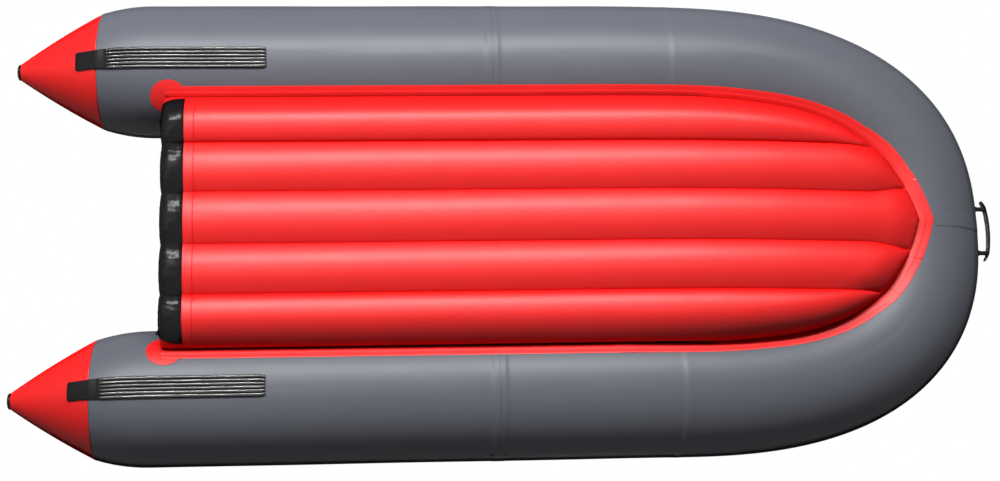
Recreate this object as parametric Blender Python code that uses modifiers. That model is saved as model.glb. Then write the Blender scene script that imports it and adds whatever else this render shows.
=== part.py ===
"""Inflatable motor boat with an air floor, as separate pieces.

Hull datum: x runs forward from the stern cones' roots, y to port, z up from
the tubes' axis at the stern. One empty carries the hull datum, so the boat
stands on its floor at world z = 0 with its box centred on the origin.
"""
import math

import bmesh
import bpy
import numpy as np
from mathutils import Matrix, Vector

# Tubes
TUBE_RADIUS = 0.223
AXIS_SPACING = 1.112
STRAIGHT_LENGTH = 1.893
BOW_REACH = 0.898
BOW_SQUARENESS = 2.6
BOW_RISE = 0.115
SHEER_LEAD = 0.253
BULKHEAD_X = 1.305
SHOULDER_LENGTH = 0.170
CONE_ROOT_RADIUS = 0.197
CONE_LENGTH = 0.289
CONE_BULGE = 0.006
CONE_TIP_RADIUS = 0.028
CAP_LENGTH = 0.011
CAP_ROUNDING = 0.007
CAP_RIM_STEP = 0.001
BAFFLE_THICKNESS = 0.001
TUBE_SIDES = 40

# Air floor
FLOOR_AFT_X = 0.224
VALLEY_BELOW_TUBE = 0.012
LOBE_DEPTH = 0.027
CREST_SHARE = 0.14
FLANK_POWER = 2.4
CREASE_FLARE = 0.28
CREASE_FLARE_LENGTH = 0.200
DECK_LOBE = 0.020
CENTRE_CHAMBER = 0.1714
NEXT_CHAMBER = 0.1637
FLOOR_THICKNESS = 0.075
FLOOR_RISE = 0.118
FLOOR_RISE_LEAD = 0.143
FLOOR_TAPE_ROOM = 0.003
BOTTOM_EDGE_ROOM = 0.005
DECK_EDGE_ROOM = 0.004
FLOOR_SHEET = 0.0020
WEB_THICKNESS = 0.0015
WEB_CLEARANCE = 0.0016
WEB_END_ROOM = 0.070
WEB_AFT_ROOM = 0.020
ROLL_WIDTH = 0.085
ROLL_POWER = 0.7
DECK_ROLL_WIDTH = 0.055
SHEET_SET_IN = 0.010
SHEET_MARGIN = 0.012
AFT_TAPER_LENGTH = 0.120
AFT_DEPTH_SHARE = 0.45
BAND_LENGTH = 0.070
BAND_OVER_LENGTH = 0.020
BAND_THICKNESS = 0.0013
BAND_BULGE = 0.009
BAND_ROOM = 0.0015
BAND_SIDE_ROOM = 0.003
BAND_FOLD_SHARES = (0.72, 0.28)

# Rows of the floor's sheets and webs, as shares of its rise to the bow
BOTTOM_ROWS = (0.27, 0.47, 0.61, 0.71, 0.79, 0.85, 0.90, 0.94, 0.97)
DECK_ROWS = (0.34, 0.57, 0.74, 0.84, 0.91, 0.955)
WEB_ROWS = (0.0, 0.35, 0.60, 0.80, 1.0)

# Gluing tapes, as angles round the tube from its bottom towards the cockpit
TAPE_ANGLE = 28.6
TAPE_BOW_ANGLE = -2.0
TAPE_WIDTH = 0.041
TAPE_BOW_WIDTH = 0.053
TAPE_PLY = 0.0012
TAPE_TURN = ((0.0, 0.0), (0.70, 0.03), (0.85, 0.20), (0.93, 0.52), (1.0, 1.0))
PATCH_RADIUS = 0.060
PATCH_X = 0.236
PATCH_ANGLE = 34.0
SEAM_TAPE_WIDTH = 0.047

# Strakes under the tubes
STRAKE_AFT_X = -0.072
STRAKE_STEP_X = 0.038
STRAKE_FORWARD_X = 0.557
STRAKE_WIDTH = 0.072
STRAKE_ANGLE = 4.0
STRAKE_BASE = 0.005
STRAKE_RIB = 0.005
STRAKE_RIBS = 6
STRAKE_RIB_FLAT = (0.26, 0.74)
STRAKE_AFT_TAPER = (0.86, 0.97)
STRAKE_FORWARD_TAPER = (0.95, 0.88)
STRAKE_RUN_OUT = 0.012

# Transom
TRANSOM_X = 0.272
TRANSOM_RAKE = 5.0
BOARD_THICKNESS = 0.030
BOARD_SIDE_ROOM = 0.015
BOARD_BELOW_TUBE_TOP = 0.038
BOARD_DECK_ROOM = 0.0015
BOARD_EDGE = 0.003
MOTOR_CUTOUT_DEPTH = 0.030
MOTOR_CUTOUT_WIDTH = 0.330
MOTOR_CUTOUT_EASE = 0.030
BOARD_CORNER = 0.045
MOTOR_PAD_WIDTH = 0.270
MOTOR_PAD_HEIGHT = 0.130
MOTOR_PAD_THICKNESS = 0.006
MOTOR_PAD_CORNER = 0.018
MOTOR_PAD_EDGE = 0.0015
MOTOR_PAD_DROP = 0.012
HOLDER_LENGTH = 0.150
HOLDER_ARC = 56.0
HOLDER_FLANGE = 0.005
HOLDER_WALL = 0.006
HOLDER_HEIGHT = 0.180
HOLDER_GRIP = 0.026
HOLDER_REACH_SHARE = 0.75
DRAIN_RADIUS = 0.012
DRAIN_WALL = 0.003
DRAIN_FLANGE = 0.023
DRAIN_FLANGE_THICKNESS = 0.005
DRAIN_FLANGE_EDGE = 0.003
DRAIN_PAST_BOARD = 0.006
PLUG_HEAD = 0.004
PLUG_PULL_HEIGHT = 0.013
PLUG_PULL_RADIUS = 0.005
PLUG_PULL_ROOT = 0.007
PLUG_CHAMFER = 0.0015
DRAIN_Y = -0.180
DRAIN_HEIGHT = 0.055

# Seats and their rails
RAIL_AFT_X = 0.420
RAIL_END_ROOM = 0.020
RAIL_INSET = 0.0255
RAIL_BASE_WIDTH = 0.050
RAIL_NECK = 0.006
RAIL_HEAD = 0.018
RAIL_PLY = 0.004
RAIL_EDGE = 0.0012
SHOE_LENGTH = 0.150
SHOE_WALL = 0.004
SHOE_TOP_WALL = 0.002
SEAT_AFT_X = 0.720
SEAT_FORWARD_X = 1.300
SEAT_WIDTH = 0.200
SEAT_THICKNESS = 0.018
SEAT_EDGE = 0.003
SEAT_LENGTH = 0.940
SEAT_ABOVE_TUBE = 0.010
SEAT_CORNER = 0.030

# Rowlocks
ROWLOCK_X = 1.010
ROWLOCK_RAIL_ROOM = 0.03676
ROWLOCK_BASE_RADIUS = 0.055
ROWLOCK_BASE_EDGE = 0.006
ROWLOCK_HUB_RADIUS = 0.020
ROWLOCK_HUB_HEIGHT = 0.034
ROWLOCK_PIN_RADIUS = 0.0080
ROWLOCK_SOCKET_DEPTH = 0.026
ROWLOCK_HUB_EDGE = 0.003
ROWLOCK_HUB_ROOT = 0.012
ROWLOCK_BASE_LIP = 0.002
ROWLOCK_UNDERSIDE = -0.012
FORK_INNER_RADIUS = 0.025
FORK_WIRE_RADIUS = 0.0055
FORK_HORN = 0.030
FORK_FLARE = 0.004
FORK_ABOVE_HUB = 0.006
SHANK_COLLAR_RADIUS = 0.014
SHANK_COLLAR = 0.004
SHANK_NECK = ((0.008, 0.010), (0.006, 0.014))

# Valves
VALVE_X = 0.500
BOW_VALVE_X = 1.520
VALVE_ANGLE = 112.0
VALVE_BODY_RADIUS = 0.026
VALVE_FLANGE_RADIUS = 0.032
VALVE_FLANGE = 0.004
VALVE_DEPTH = 0.022
VALVE_BOWL_RADIUS = 0.020
VALVE_BOWL_DEPTH = 0.013
VALVE_WALL = 0.003
BUTTON_RADIUS = 0.0085
BUTTON_STEM_RADIUS = 0.0040
BUTTON_TRAVEL = 0.005
BUTTON_HEAD = 0.0035
BUTTON_CLEARANCE = 0.001
RETAINER_RADIUS = 0.012
RETAINER_THICKNESS = 0.0012
VALVE_FLANGE_EDGE = (0.002, 0.0015)
CAP_RADIUS = 0.0235
CAP_THICKNESS = 0.0035
CAP_GRIP_HEIGHT = 0.007
CAP_GRIP_WIDTH = 0.005
CAP_GRIP_SHARE = 0.72
CAP_SKIRT = 0.0035
CAP_SKIRT_WALL = 0.002
FLOOR_VALVE_X = 0.480

# Bow handle
HANDLE_STANDOFF = 0.058
HANDLE_LEG_SPACING = 0.155
HANDLE_LENGTH = 0.208
HANDLE_BAND_WIDTH = 0.032
HANDLE_BAND_THICKNESS = 0.008
HANDLE_LEG_THICKNESS = 0.014
HANDLE_BEND = 0.014
HANDLE_CURL = 0.008
HANDLE_CURL_START = 0.8
HANDLE_END_TAPER = 0.35
HANDLE_EDGE = 0.002
HANDLE_FOOT_LENGTH = 0.018
HANDLE_FOOT_FLARE = 1.5
HANDLE_LEG_DEPTH_SHARE = 0.8
HANDLE_PAD_ROOM = 1.2
HANDLE_PAD_SIZE = 0.058
HANDLE_PAD_THICKNESS = 0.004

# Clearances
GAP = 0.0003
CUT_GAP = 0.0006
RUN_GAP = 0.0008
PIN_GAP = 0.0003

HALF_SPACING = AXIS_SPACING / 2
CONE_MIDDLE_RADIUS = (CONE_ROOT_RADIUS + CONE_TIP_RADIUS) / 2 + CONE_BULGE
SHEER_START = STRAIGHT_LENGTH - SHEER_LEAD
FLOOR_RISE_START = STRAIGHT_LENGTH - FLOOR_RISE_LEAD
RAIL_LENGTH = SHEER_START - RAIL_END_ROOM - RAIL_AFT_X
VALLEY_DEPTH = TUBE_RADIUS + VALLEY_BELOW_TUBE
BOARD_TOP = TUBE_RADIUS - BOARD_BELOW_TUBE_TOP
TUBE_GAP = AXIS_SPACING - 2 * TUBE_RADIUS
BOARD_WIDTH = TUBE_GAP - 2 * BOARD_SIDE_ROOM
RAIL_Y = SEAT_LENGTH / 2 - RAIL_INSET
RAIL_ANGLE = 180.0 - math.degrees(math.asin((HALF_SPACING - RAIL_Y) / TUBE_RADIUS))
ROWLOCK_ARC = ROWLOCK_BASE_RADIUS + RAIL_BASE_WIDTH / 2 + ROWLOCK_RAIL_ROOM
ROWLOCK_ANGLE = RAIL_ANGLE + math.degrees(ROWLOCK_ARC / TUBE_RADIUS)
FLOOR_CREST = VALLEY_DEPTH + LOBE_DEPTH
VALLEY_INNER_Y = CENTRE_CHAMBER / 2
VALLEY_OUTER_Y = VALLEY_INNER_Y + NEXT_CHAMBER
SIDES = {"port": 1, "starboard": -1}

parts = bpy.data.collections.new("inflatable_boat")
cutters = bpy.data.collections.new("cutters")


def clear_scene():
    for obj in list(bpy.data.objects):
        bpy.data.objects.remove(obj, do_unlink=True)
    bpy.context.scene.collection.children.link(parts)
    bpy.context.scene.collection.children.link(cutters)


def material(name, colour, roughness, metallic=0.0):
    """A plain Principled material, made once for each name."""
    found = bpy.data.materials.get(name)
    if found:
        return found
    made = bpy.data.materials.new(name)
    made.use_nodes = True
    shader = made.node_tree.nodes["Principled BSDF"]
    shader.inputs["Base Color"].default_value = (*colour, 1.0)
    shader.inputs["Roughness"].default_value = roughness
    shader.inputs["Metallic"].default_value = metallic
    return made


def grey_fabric(name):
    return material(name, (0.20, 0.21, 0.23), 0.45)


def red_fabric(name):
    return material(name, (0.78, 0.03, 0.03), 0.40)


def black_rubber(name):
    return material(name, (0.015, 0.014, 0.015), 0.40)


def black_plastic(name):
    return material(name, (0.02, 0.02, 0.021), 0.35)


def join_to(obj, carrier):
    obj.parent = carrier


def keep(obj, finish, carrier=None, smooth=35.0):
    """Files an object as a sub-part, with its material, shading and carrier."""
    parts.objects.link(obj)
    obj.data.materials.clear()
    obj.data.materials.append(finish(obj.name))
    if smooth and obj.type == "MESH":
        obj.data.shade_smooth()
        obj.data.set_sharp_from_angle(angle=math.radians(smooth))
    join_to(obj, carrier or datum)
    return obj


def as_cutter(obj, carrier=None):
    cutters.objects.link(obj)
    obj.hide_render = True
    obj.display_type = "WIRE"
    join_to(obj, carrier or datum)
    return obj


def boolean(obj, cutter, operation="DIFFERENCE"):
    made = obj.modifiers.new(operation.lower(), "BOOLEAN")
    made.operation = operation
    made.object = cutter
    made.solver = "EXACT"
    return made


def mesh_object(name, points, faces):
    """A mesh object from numpy points and faces, with its normals outward."""
    mesh = bpy.data.meshes.new(name)
    mesh.from_pydata([tuple(p) for p in points], [], faces)
    work = bmesh.new()
    work.from_mesh(mesh)
    bmesh.ops.recalc_face_normals(work, faces=work.faces)
    work.to_mesh(mesh)
    work.free()
    return bpy.data.objects.new(name, mesh)


def loft(name, rings):
    """A solid through closed rings of equal count, capped at both ends."""
    count = len(rings[0])
    faces = []
    for row in range(len(rings) - 1):
        for k in range(count):
            after = (k + 1) % count
            a, b = row * count, (row + 1) * count
            faces.append((a + k, a + after, b + after, b + k))
    last = (len(rings) - 1) * count
    faces.append(tuple(range(count)))
    faces.append(tuple(last + k for k in range(count)))
    return mesh_object(name, np.concatenate(rings), faces)


def grid(name, points):
    """An open sheet of triangles through a grid of points, alike on both sides."""
    rows, columns = points.shape[:2]
    faces = []
    for r in range(rows - 1):
        for c in range(columns - 1):
            a = r * columns + c
            b = a + columns
            if points[r, c, 1] + points[r, c + 1, 1] > 0:
                faces += [(a, a + 1, b + 1), (a, b + 1, b)]
            else:
                faces += [(a, a + 1, b), (a + 1, b + 1, b)]
    mesh = bpy.data.meshes.new(name)
    mesh.from_pydata([tuple(p) for p in points.reshape(-1, 3)], [], faces)
    return bpy.data.objects.new(name, mesh)


def turned(name, profile, steps=16):
    """A profile of (radius, height) points turned about its own z axis."""
    mesh = bpy.data.meshes.new(name)
    edges = [(k, k + 1) for k in range(len(profile) - 1)]
    mesh.from_pydata([(r, 0.0, h) for r, h in profile], edges, [])
    obj = bpy.data.objects.new(name, mesh)
    screw = obj.modifiers.new("turn", "SCREW")
    screw.steps = steps
    screw.render_steps = steps
    screw.use_merge_vertices = True
    screw.merge_threshold = 0.00005
    screw.use_smooth_shade = True
    return obj


def plate(name, outline, thickness, bevel=0.0):
    """A flat outline in the object's xy plane with its thickness about z."""
    curve = bpy.data.curves.new(name, "CURVE")
    curve.dimensions = "2D"
    curve.fill_mode = "BOTH"
    curve.extrude = thickness / 2 - bevel
    curve.bevel_depth = bevel
    curve.bevel_resolution = 0
    curve.offset = -bevel
    spline = curve.splines.new("POLY")
    spline.points.add(len(outline) - 1)
    for point, (x, y) in zip(spline.points, outline):
        point.co = (x, y, 0.0, 1.0)
    spline.use_cyclic_u = True
    return bpy.data.objects.new(name, curve)


def made_mesh(curve_object):
    """The curve's evaluated shape as a mesh object with its caps welded."""
    bpy.context.scene.collection.objects.link(curve_object)
    bpy.context.view_layer.update()
    graph = bpy.context.evaluated_depsgraph_get()
    mesh = bpy.data.meshes.new_from_object(curve_object.evaluated_get(graph))
    name, place = curve_object.name, curve_object.matrix_world.copy()
    bpy.data.objects.remove(curve_object, do_unlink=True)
    work = bmesh.new()
    work.from_mesh(mesh)
    bmesh.ops.remove_doubles(work, verts=work.verts, dist=0.00001)
    bmesh.ops.recalc_face_normals(work, faces=work.faces)
    work.to_mesh(mesh)
    work.free()
    obj = bpy.data.objects.new(name, mesh)
    obj.matrix_world = place
    return obj


def cylinder(name, radius, depth, sides=32):
    """A primitive cylinder about z, from z = 0 up to its depth."""
    mesh = bpy.data.meshes.new(name)
    work = bmesh.new()
    bmesh.ops.create_cone(work, cap_ends=True, segments=sides, radius1=radius,
                          radius2=radius, depth=depth,
                          matrix=Matrix.Translation((0, 0, depth / 2)))
    work.to_mesh(mesh)
    work.free()
    return bpy.data.objects.new(name, mesh)


def block(name, low, high):
    """A primitive cube stretched between two corners."""
    low, high = Vector(low), Vector(high)
    mesh = bpy.data.meshes.new(name)
    work = bmesh.new()
    bmesh.ops.create_cube(work, size=1.0)
    bmesh.ops.scale(work, vec=high - low, verts=work.verts)
    bmesh.ops.translate(work, vec=(low + high) / 2, verts=work.verts)
    work.to_mesh(mesh)
    work.free()
    return bpy.data.objects.new(name, mesh)


def rounded_rectangle(width, height, radius, steps=4, centre=(0.0, 0.0)):
    """Outline points of a rectangle with round corners, anticlockwise."""
    points = []
    for corner in range(4):
        sx = (1, -1, -1, 1)[corner]
        sy = (1, 1, -1, -1)[corner]
        cx = centre[0] + sx * (width / 2 - radius)
        cy = centre[1] + sy * (height / 2 - radius)
        for k in range(steps + 1):
            turn = math.pi / 2 * (corner + k / steps)
            points.append((cx + radius * math.cos(turn), cy + radius * math.sin(turn)))
    return points


def empty(name, carrier=None):
    obj = bpy.data.objects.new(name, None)
    obj.empty_display_size = 0.05
    parts.objects.link(obj)
    obj.parent = carrier
    return obj


# The tubes' centre line: straight, then a superellipse round the bow
def bow_curve():
    """Dense plan points of the port centre line and their running length."""
    turn = np.linspace(0.0, math.pi / 2, 4001)
    x = STRAIGHT_LENGTH + BOW_REACH * np.sin(turn) ** (2 / BOW_SQUARENESS)
    y = HALF_SPACING * np.cos(turn) ** (2 / BOW_SQUARENESS)
    x = np.concatenate([[0.0], x])
    y = np.concatenate([[HALF_SPACING], y])
    y[-1] = 0.0
    length = np.concatenate([[0.0], np.cumsum(np.hypot(np.diff(x), np.diff(y)))])
    return x, y, length


CURVE_X, CURVE_Y, CURVE_LENGTH = bow_curve()
AXIS_LENGTH = CURVE_LENGTH[-1]
BOW_X = STRAIGHT_LENGTH + BOW_REACH


def sheer(station):
    """Height of the centre line: an S curve from the sheer's start to the bow."""
    share = np.clip((station - SHEER_START) / (AXIS_LENGTH - SHEER_START), 0.0, 1.0)
    return BOW_RISE * np.sin(math.pi / 2 * share) ** 2


def tube_radius(station):
    """Full radius, drawn in by a parabola over the shoulder at the cone."""
    short = np.clip(1 - station / SHOULDER_LENGTH, 0.0, 1.0)
    return TUBE_RADIUS - (TUBE_RADIUS - CONE_ROOT_RADIUS) * short ** 2


def tube_frame(station):
    """Centre, outboard and upward directions of the port tube at a station."""
    x = np.interp(station, CURVE_LENGTH, CURVE_X)
    y = np.interp(station, CURVE_LENGTH, CURVE_Y)
    step = 0.004
    before, after = max(station - step, 0.0), min(station + step, AXIS_LENGTH)
    dx = np.interp(after, CURVE_LENGTH, CURVE_X) - np.interp(before, CURVE_LENGTH, CURVE_X)
    dy = np.interp(after, CURVE_LENGTH, CURVE_Y) - np.interp(before, CURVE_LENGTH, CURVE_Y)
    if station > AXIS_LENGTH - step:
        dx, dy = 0.0, -1.0
    along = Vector((dx, dy, sheer(after) - sheer(before))).normalized()
    outward = Vector((-dy, dx, 0.0)).normalized()
    upward = outward.cross(along)
    if upward.z < 0:
        upward.negate()
    return Vector((x, y, sheer(station))), outward, upward


def on_tube(station, angle, radius=None, side=1):
    """A point round the tube: angle from its bottom, towards the cockpit."""
    centre, outward, upward = tube_frame(station)
    if radius is None:
        radius = tube_radius(station)
    turn = math.radians(angle)
    point = centre - outward * (radius * math.sin(turn)) - upward * (radius * math.cos(turn))
    y = max(point.y, GAP / 2)
    return np.array((point.x, side * y, point.z))


def bow_stations(first):
    """Stations from a first one to the bow, closer together in the curve."""
    straight = [first, SHEER_START, SHEER_START + SHEER_LEAD / 2, STRAIGHT_LENGTH]
    count = 18
    curve = np.linspace(STRAIGHT_LENGTH, AXIS_LENGTH, count + 1)[1:]
    return [s for s in straight if s >= first] + list(curve)


def tube_ring(station, side):
    angles = np.arange(TUBE_SIDES) * 360.0 / TUBE_SIDES
    return np.array([on_tube(station, a, side=side) for a in angles])


def radial_frame(x, angle, side, radius=None):
    """Local frame on the straight tube: z out of the surface, x forward."""
    radius = TUBE_RADIUS if radius is None else radius
    turn = math.radians(angle)
    out = Vector((0.0, -side * math.sin(turn), -math.cos(turn)))
    forward = Vector((1.0, 0.0, 0.0))
    across = out.cross(forward)
    frame = Matrix.Identity(4)
    for column, axis in enumerate((forward, across, out)):
        for row in range(3):
            frame[row][column] = axis[row]
    frame.translation = Vector((x, side * HALF_SPACING, 0.0)) + out * radius
    return frame


def tube_cutter(name, side, radius, low_x, high_x):
    """A straight stretch of the tube's own cylinder, to cut what sits on it."""
    obj = cylinder(name, radius, high_x - low_x, 96)
    obj.matrix_local = (Matrix.Translation((low_x, side * HALF_SPACING, 0.0))
                        @ Matrix.Rotation(math.pi / 2, 4, "Y"))
    return as_cutter(obj)


def aft_tube(side_name, side):
    stations = [0.0, 0.03, 0.07, 0.12, SHOULDER_LENGTH,
                BULKHEAD_X - BAFFLE_THICKNESS / 2 - GAP]
    obj = loft(f"tube_{side_name}_aft", [tube_ring(s, side) for s in stations])
    keep(obj, grey_fabric)
    return obj


def bow_tube(side_name, side):
    stations = bow_stations(BULKHEAD_X + BAFFLE_THICKNESS / 2 + GAP)
    obj = loft(f"tube_{side_name}_bow", [tube_ring(s, side) for s in stations])
    keep(obj, grey_fabric)
    return obj


def baffle(side_name, side):
    """The diaphragm that parts the aft chamber from the bow chamber."""
    obj = cylinder(f"baffle_{side_name}", TUBE_RADIUS - 0.002, BAFFLE_THICKNESS, 32)
    obj.matrix_local = (Matrix.Translation((BULKHEAD_X - BAFFLE_THICKNESS / 2,
                                            side * HALF_SPACING, 0.0))
                        @ Matrix.Rotation(math.pi / 2, 4, "Y"))
    keep(obj, grey_fabric)


def stern_cone(side_name, side):
    """Cone from the tube's root to a cut-off tip, its sides slightly barrelled."""
    length = CONE_LENGTH - CAP_LENGTH
    profile = [(0.0, length), (CONE_TIP_RADIUS, length), (CONE_MIDDLE_RADIUS, length / 2),
               (CONE_ROOT_RADIUS, GAP), (0.0, GAP)]
    obj = turned(f"cone_{side_name}", profile, 32)
    stand = (Matrix.Translation((0.0, side * HALF_SPACING, 0.0))
             @ Matrix.Rotation(-math.pi / 2, 4, "Y"))
    obj.matrix_local = stand
    keep(obj, red_fabric, smooth=0)
    rim = CONE_TIP_RADIUS - CAP_RIM_STEP
    start = length + GAP
    end = CONE_LENGTH
    cap_profile = [(0.0, end)]
    for turn in np.radians((35.0, 62.0, 90.0)):
        cap_profile.append((rim * math.sin(turn), end - CAP_ROUNDING * (1 - math.cos(turn))))
    cap_profile += [(rim, start), (0.0, start)]
    cap = turned(f"cone_cap_{side_name}", cap_profile)
    cap.matrix_local = stand
    keep(cap, black_rubber, smooth=0)


def tape_angles(station):
    """Outer and inner edges of the gluing tape, in degrees, at a station."""
    reach = AXIS_LENGTH
    marks, turned_by = zip(*TAPE_TURN)
    swing = TAPE_ANGLE - TAPE_BOW_ANGLE
    outer = TAPE_ANGLE - swing * float(np.interp(station / reach, marks, turned_by))
    share = np.clip((station - STRAIGHT_LENGTH) / (reach - STRAIGHT_LENGTH), 0.0, 1.0)
    width = TAPE_WIDTH + (TAPE_BOW_WIDTH - TAPE_WIDTH) * share
    return outer, outer + math.degrees(width / TUBE_RADIUS)


def tape_ring(station, side):
    """Two plies: a wide one, and a second over its inner half."""
    outer, inner = tape_angles(station)
    step = (outer + inner) / 2
    under = TUBE_RADIUS + GAP
    ring = [on_tube(station, a, under, side) for a in np.linspace(outer, inner, 4)]
    ring += [on_tube(station, a, under + 2 * TAPE_PLY, side) for a in (inner, (inner + step) / 2, step)]
    ring += [on_tube(station, a, under + TAPE_PLY, side) for a in (step, (outer + step) / 2, outer)]
    return np.array(ring)


def floor_tape(side_name, side):
    first = PATCH_X + PATCH_RADIUS + 0.001
    stations = [first] + bow_stations(BULKHEAD_X)
    keep(loft(f"floor_tape_{side_name}", [tape_ring(s, side) for s in stations]), red_fabric)


def arc_band(name, low_x, high_x, low_angle, high_angle, thickness, side, steps=6, under=GAP):
    """A curved strip lying on the straight part of a tube."""
    angles = np.linspace(low_angle, high_angle, steps + 1)
    rings = []
    for x in (low_x, high_x):
        inner = [on_tube(x, a, TUBE_RADIUS + under, side) for a in angles]
        outer = [on_tube(x, a, TUBE_RADIUS + under + thickness, side) for a in reversed(angles)]
        rings.append(np.array(inner + outer))
    return loft(name, rings)


def tape_patch(side_name, side):
    """Round patch at the tape's aft end, cut away where the floor begins."""
    spread = math.degrees(PATCH_RADIUS / TUBE_RADIUS) + 2.0
    low_x, high_x = PATCH_X - PATCH_RADIUS - 0.005, PATCH_X + PATCH_RADIUS + 0.005
    obj = arc_band(f"tape_patch_{side_name}", low_x, high_x, PATCH_ANGLE - spread,
                   PATCH_ANGLE + spread, TAPE_PLY, side, 8)
    disc = cylinder(f"patch_disc_{side_name}", PATCH_RADIUS, 0.04, 28)
    disc.matrix_local = (radial_frame(PATCH_X, PATCH_ANGLE, side)
                         @ Matrix.Translation((0, 0, -0.02)))
    as_cutter(disc)
    boolean(obj, disc, "INTERSECT")
    edge = tape_angles(FLOOR_AFT_X)[1]
    notch = arc_band(f"patch_notch_{side_name}", FLOOR_AFT_X - 0.012, high_x + 0.01,
                     edge, edge + 30, 0.02, side, 6, under=-0.01)
    as_cutter(notch)
    boolean(obj, notch)
    keep(obj, red_fabric)


def bow_seam_tape():
    """Tape over the joint of the two bow tubes, from the floor tape to the top."""
    outer = tape_angles(AXIS_LENGTH)[0]
    facet = 360.0 / TUBE_SIDES
    angles = np.concatenate([[outer - 1.0], -facet * np.arange(1, 22)])
    rings = []
    for y in (-SEAM_TAPE_WIDTH / 2, 0.0, SEAM_TAPE_WIDTH / 2):
        station = AXIS_LENGTH - abs(y)
        side = -1 if y < 0 else 1
        ring = []
        for thickness, order in ((0.0, angles), (TAPE_PLY, angles[::-1])):
            for a in order:
                point = on_tube(station, a, TUBE_RADIUS + GAP + thickness, side)
                point[1] = y if y == 0.0 else point[1]
                ring.append(point)
        rings.append(np.array(ring))
    keep(loft("bow_seam_tape", rings), grey_fabric)


# The air floor: heights of its two sheets as functions of plan place
def smooth_step(value):
    value = np.clip(value, 0.0, 1.0)
    return value * value * (3 - 2 * value)


def valley_height(x):
    """Height of the creases between chambers, rising towards the bow."""
    front = BOW_X - TUBE_RADIUS * math.sin(math.radians(tape_angles(AXIS_LENGTH)[1]))
    share = np.clip((x - FLOOR_RISE_START) / (front - FLOOR_RISE_START), 0.0, 1.0)
    return -VALLEY_DEPTH + FLOOR_RISE * share ** 2


def floor_edge(station):
    """Where the bottom sheet meets the tube, just inside the gluing tape."""
    inner = tape_angles(station)[1] + math.degrees(FLOOR_TAPE_ROOM / TUBE_RADIUS)
    return on_tube(station, inner, TUBE_RADIUS + BOTTOM_EDGE_ROOM)


def deck_edge(station):
    """Where the deck sheet meets the tube, at the height of its own creases."""
    centre = tube_frame(station)[0]
    radius = TUBE_RADIUS + DECK_EDGE_ROOM
    point = on_tube(station, 45.0, radius)
    for _ in range(8):
        target = valley_height(point[0]) + FLOOR_THICKNESS + DECK_EDGE_ROOM
        drop = np.clip((centre.z - target) / radius, 0.05, 0.999)
        angle = math.degrees(math.acos(drop))
        point = on_tube(station, angle, radius)
    return point


def edge_curve(edge):
    stations = np.linspace(0.0, AXIS_LENGTH, 160)
    points = np.array([edge(s) for s in stations])
    points[-1, 1] = 0.0
    return points


FLOOR_EDGE = edge_curve(floor_edge)
DECK_EDGE = edge_curve(deck_edge)


def crease_flare(x):
    """How far the inner creases spread just before the bow."""
    start = FLOOR_EDGE[-1, 0] - CREASE_FLARE_LENGTH
    return 1 + CREASE_FLARE * smooth_step((x - start) / CREASE_FLARE_LENGTH)


def chamber_bulge(x, y):
    """Share of full depth, 1 on a chamber's flat crest and 0 in its creases."""
    flare = crease_flare(x)
    inner, outer = VALLEY_INNER_Y * flare, VALLEY_OUTER_Y + 0 * x
    side_edge = FLOOR_EDGE[0, 1] + 0 * x
    reach = np.abs(y)
    low = np.where(reach < inner, -inner, np.where(reach < outer, inner, outer))
    high = np.where(reach < inner, inner, np.where(reach < outer, outer, side_edge))
    share = np.clip((reach - low) / (high - low), 0.0, 1.0)
    flank = np.clip((np.abs(2 * share - 1) - CREST_SHARE) / (1 - CREST_SHARE), 0.0, 1.0)
    return 1 - flank ** FLANK_POWER


def edge_roll(x, y, edge, width):
    """Share of the way in from the edge, and the edge's height there."""
    reach = np.abs(y)
    start, run = edge[:-1], np.diff(edge, axis=0)
    length = np.maximum(run[:, 0] ** 2 + run[:, 1] ** 2, 1e-12)
    along = ((x[..., None] - start[:, 0]) * run[:, 0]
             + (reach[..., None] - start[:, 1]) * run[:, 1]) / length
    along = np.clip(along, 0.0, 1.0)
    gaps = np.hypot(x[..., None] - start[:, 0] - along * run[:, 0],
                    reach[..., None] - start[:, 1] - along * run[:, 1])
    nearest = gaps.argmin(-1)
    distance = gaps.min(-1)
    place = np.take_along_axis(along, nearest[..., None], -1)[..., 0]
    edge_z = start[nearest, 2] + place * run[nearest, 2]
    inside = reach < np.interp(x, edge[:, 0], edge[:, 1], right=0.0)
    share = np.where(inside, np.clip(distance / width, 0.0, 1.0), 0.0)
    return (1 - (1 - share) ** 2) ** ROLL_POWER, edge_z


def aft_depth(x):
    """The chambers' depth grows from a share at the aft end to all of it."""
    along = smooth_step((x - FLOOR_AFT_X) / AFT_TAPER_LENGTH)
    return AFT_DEPTH_SHARE + (1 - AFT_DEPTH_SHARE) * along


def bottom_height(x, y):
    """Outer face of the floor's bottom sheet."""
    x, y = np.asarray(x, float), np.asarray(y, float)
    lobe = LOBE_DEPTH * chamber_bulge(x, y) * aft_depth(x)
    share, edge_z = edge_roll(x, y, FLOOR_EDGE, ROLL_WIDTH)
    return edge_z * (1 - share) + (valley_height(x) - lobe) * share


def deck_height(x, y):
    """Upper face of the floor's deck sheet."""
    x, y = np.asarray(x, float), np.asarray(y, float)
    lobe = DECK_LOBE * chamber_bulge(x, y) * aft_depth(x)
    share, edge_z = edge_roll(x, y, DECK_EDGE, DECK_ROLL_WIDTH)
    return edge_z * (1 - share) + (valley_height(x) + FLOOR_THICKNESS + lobe) * share


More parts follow.
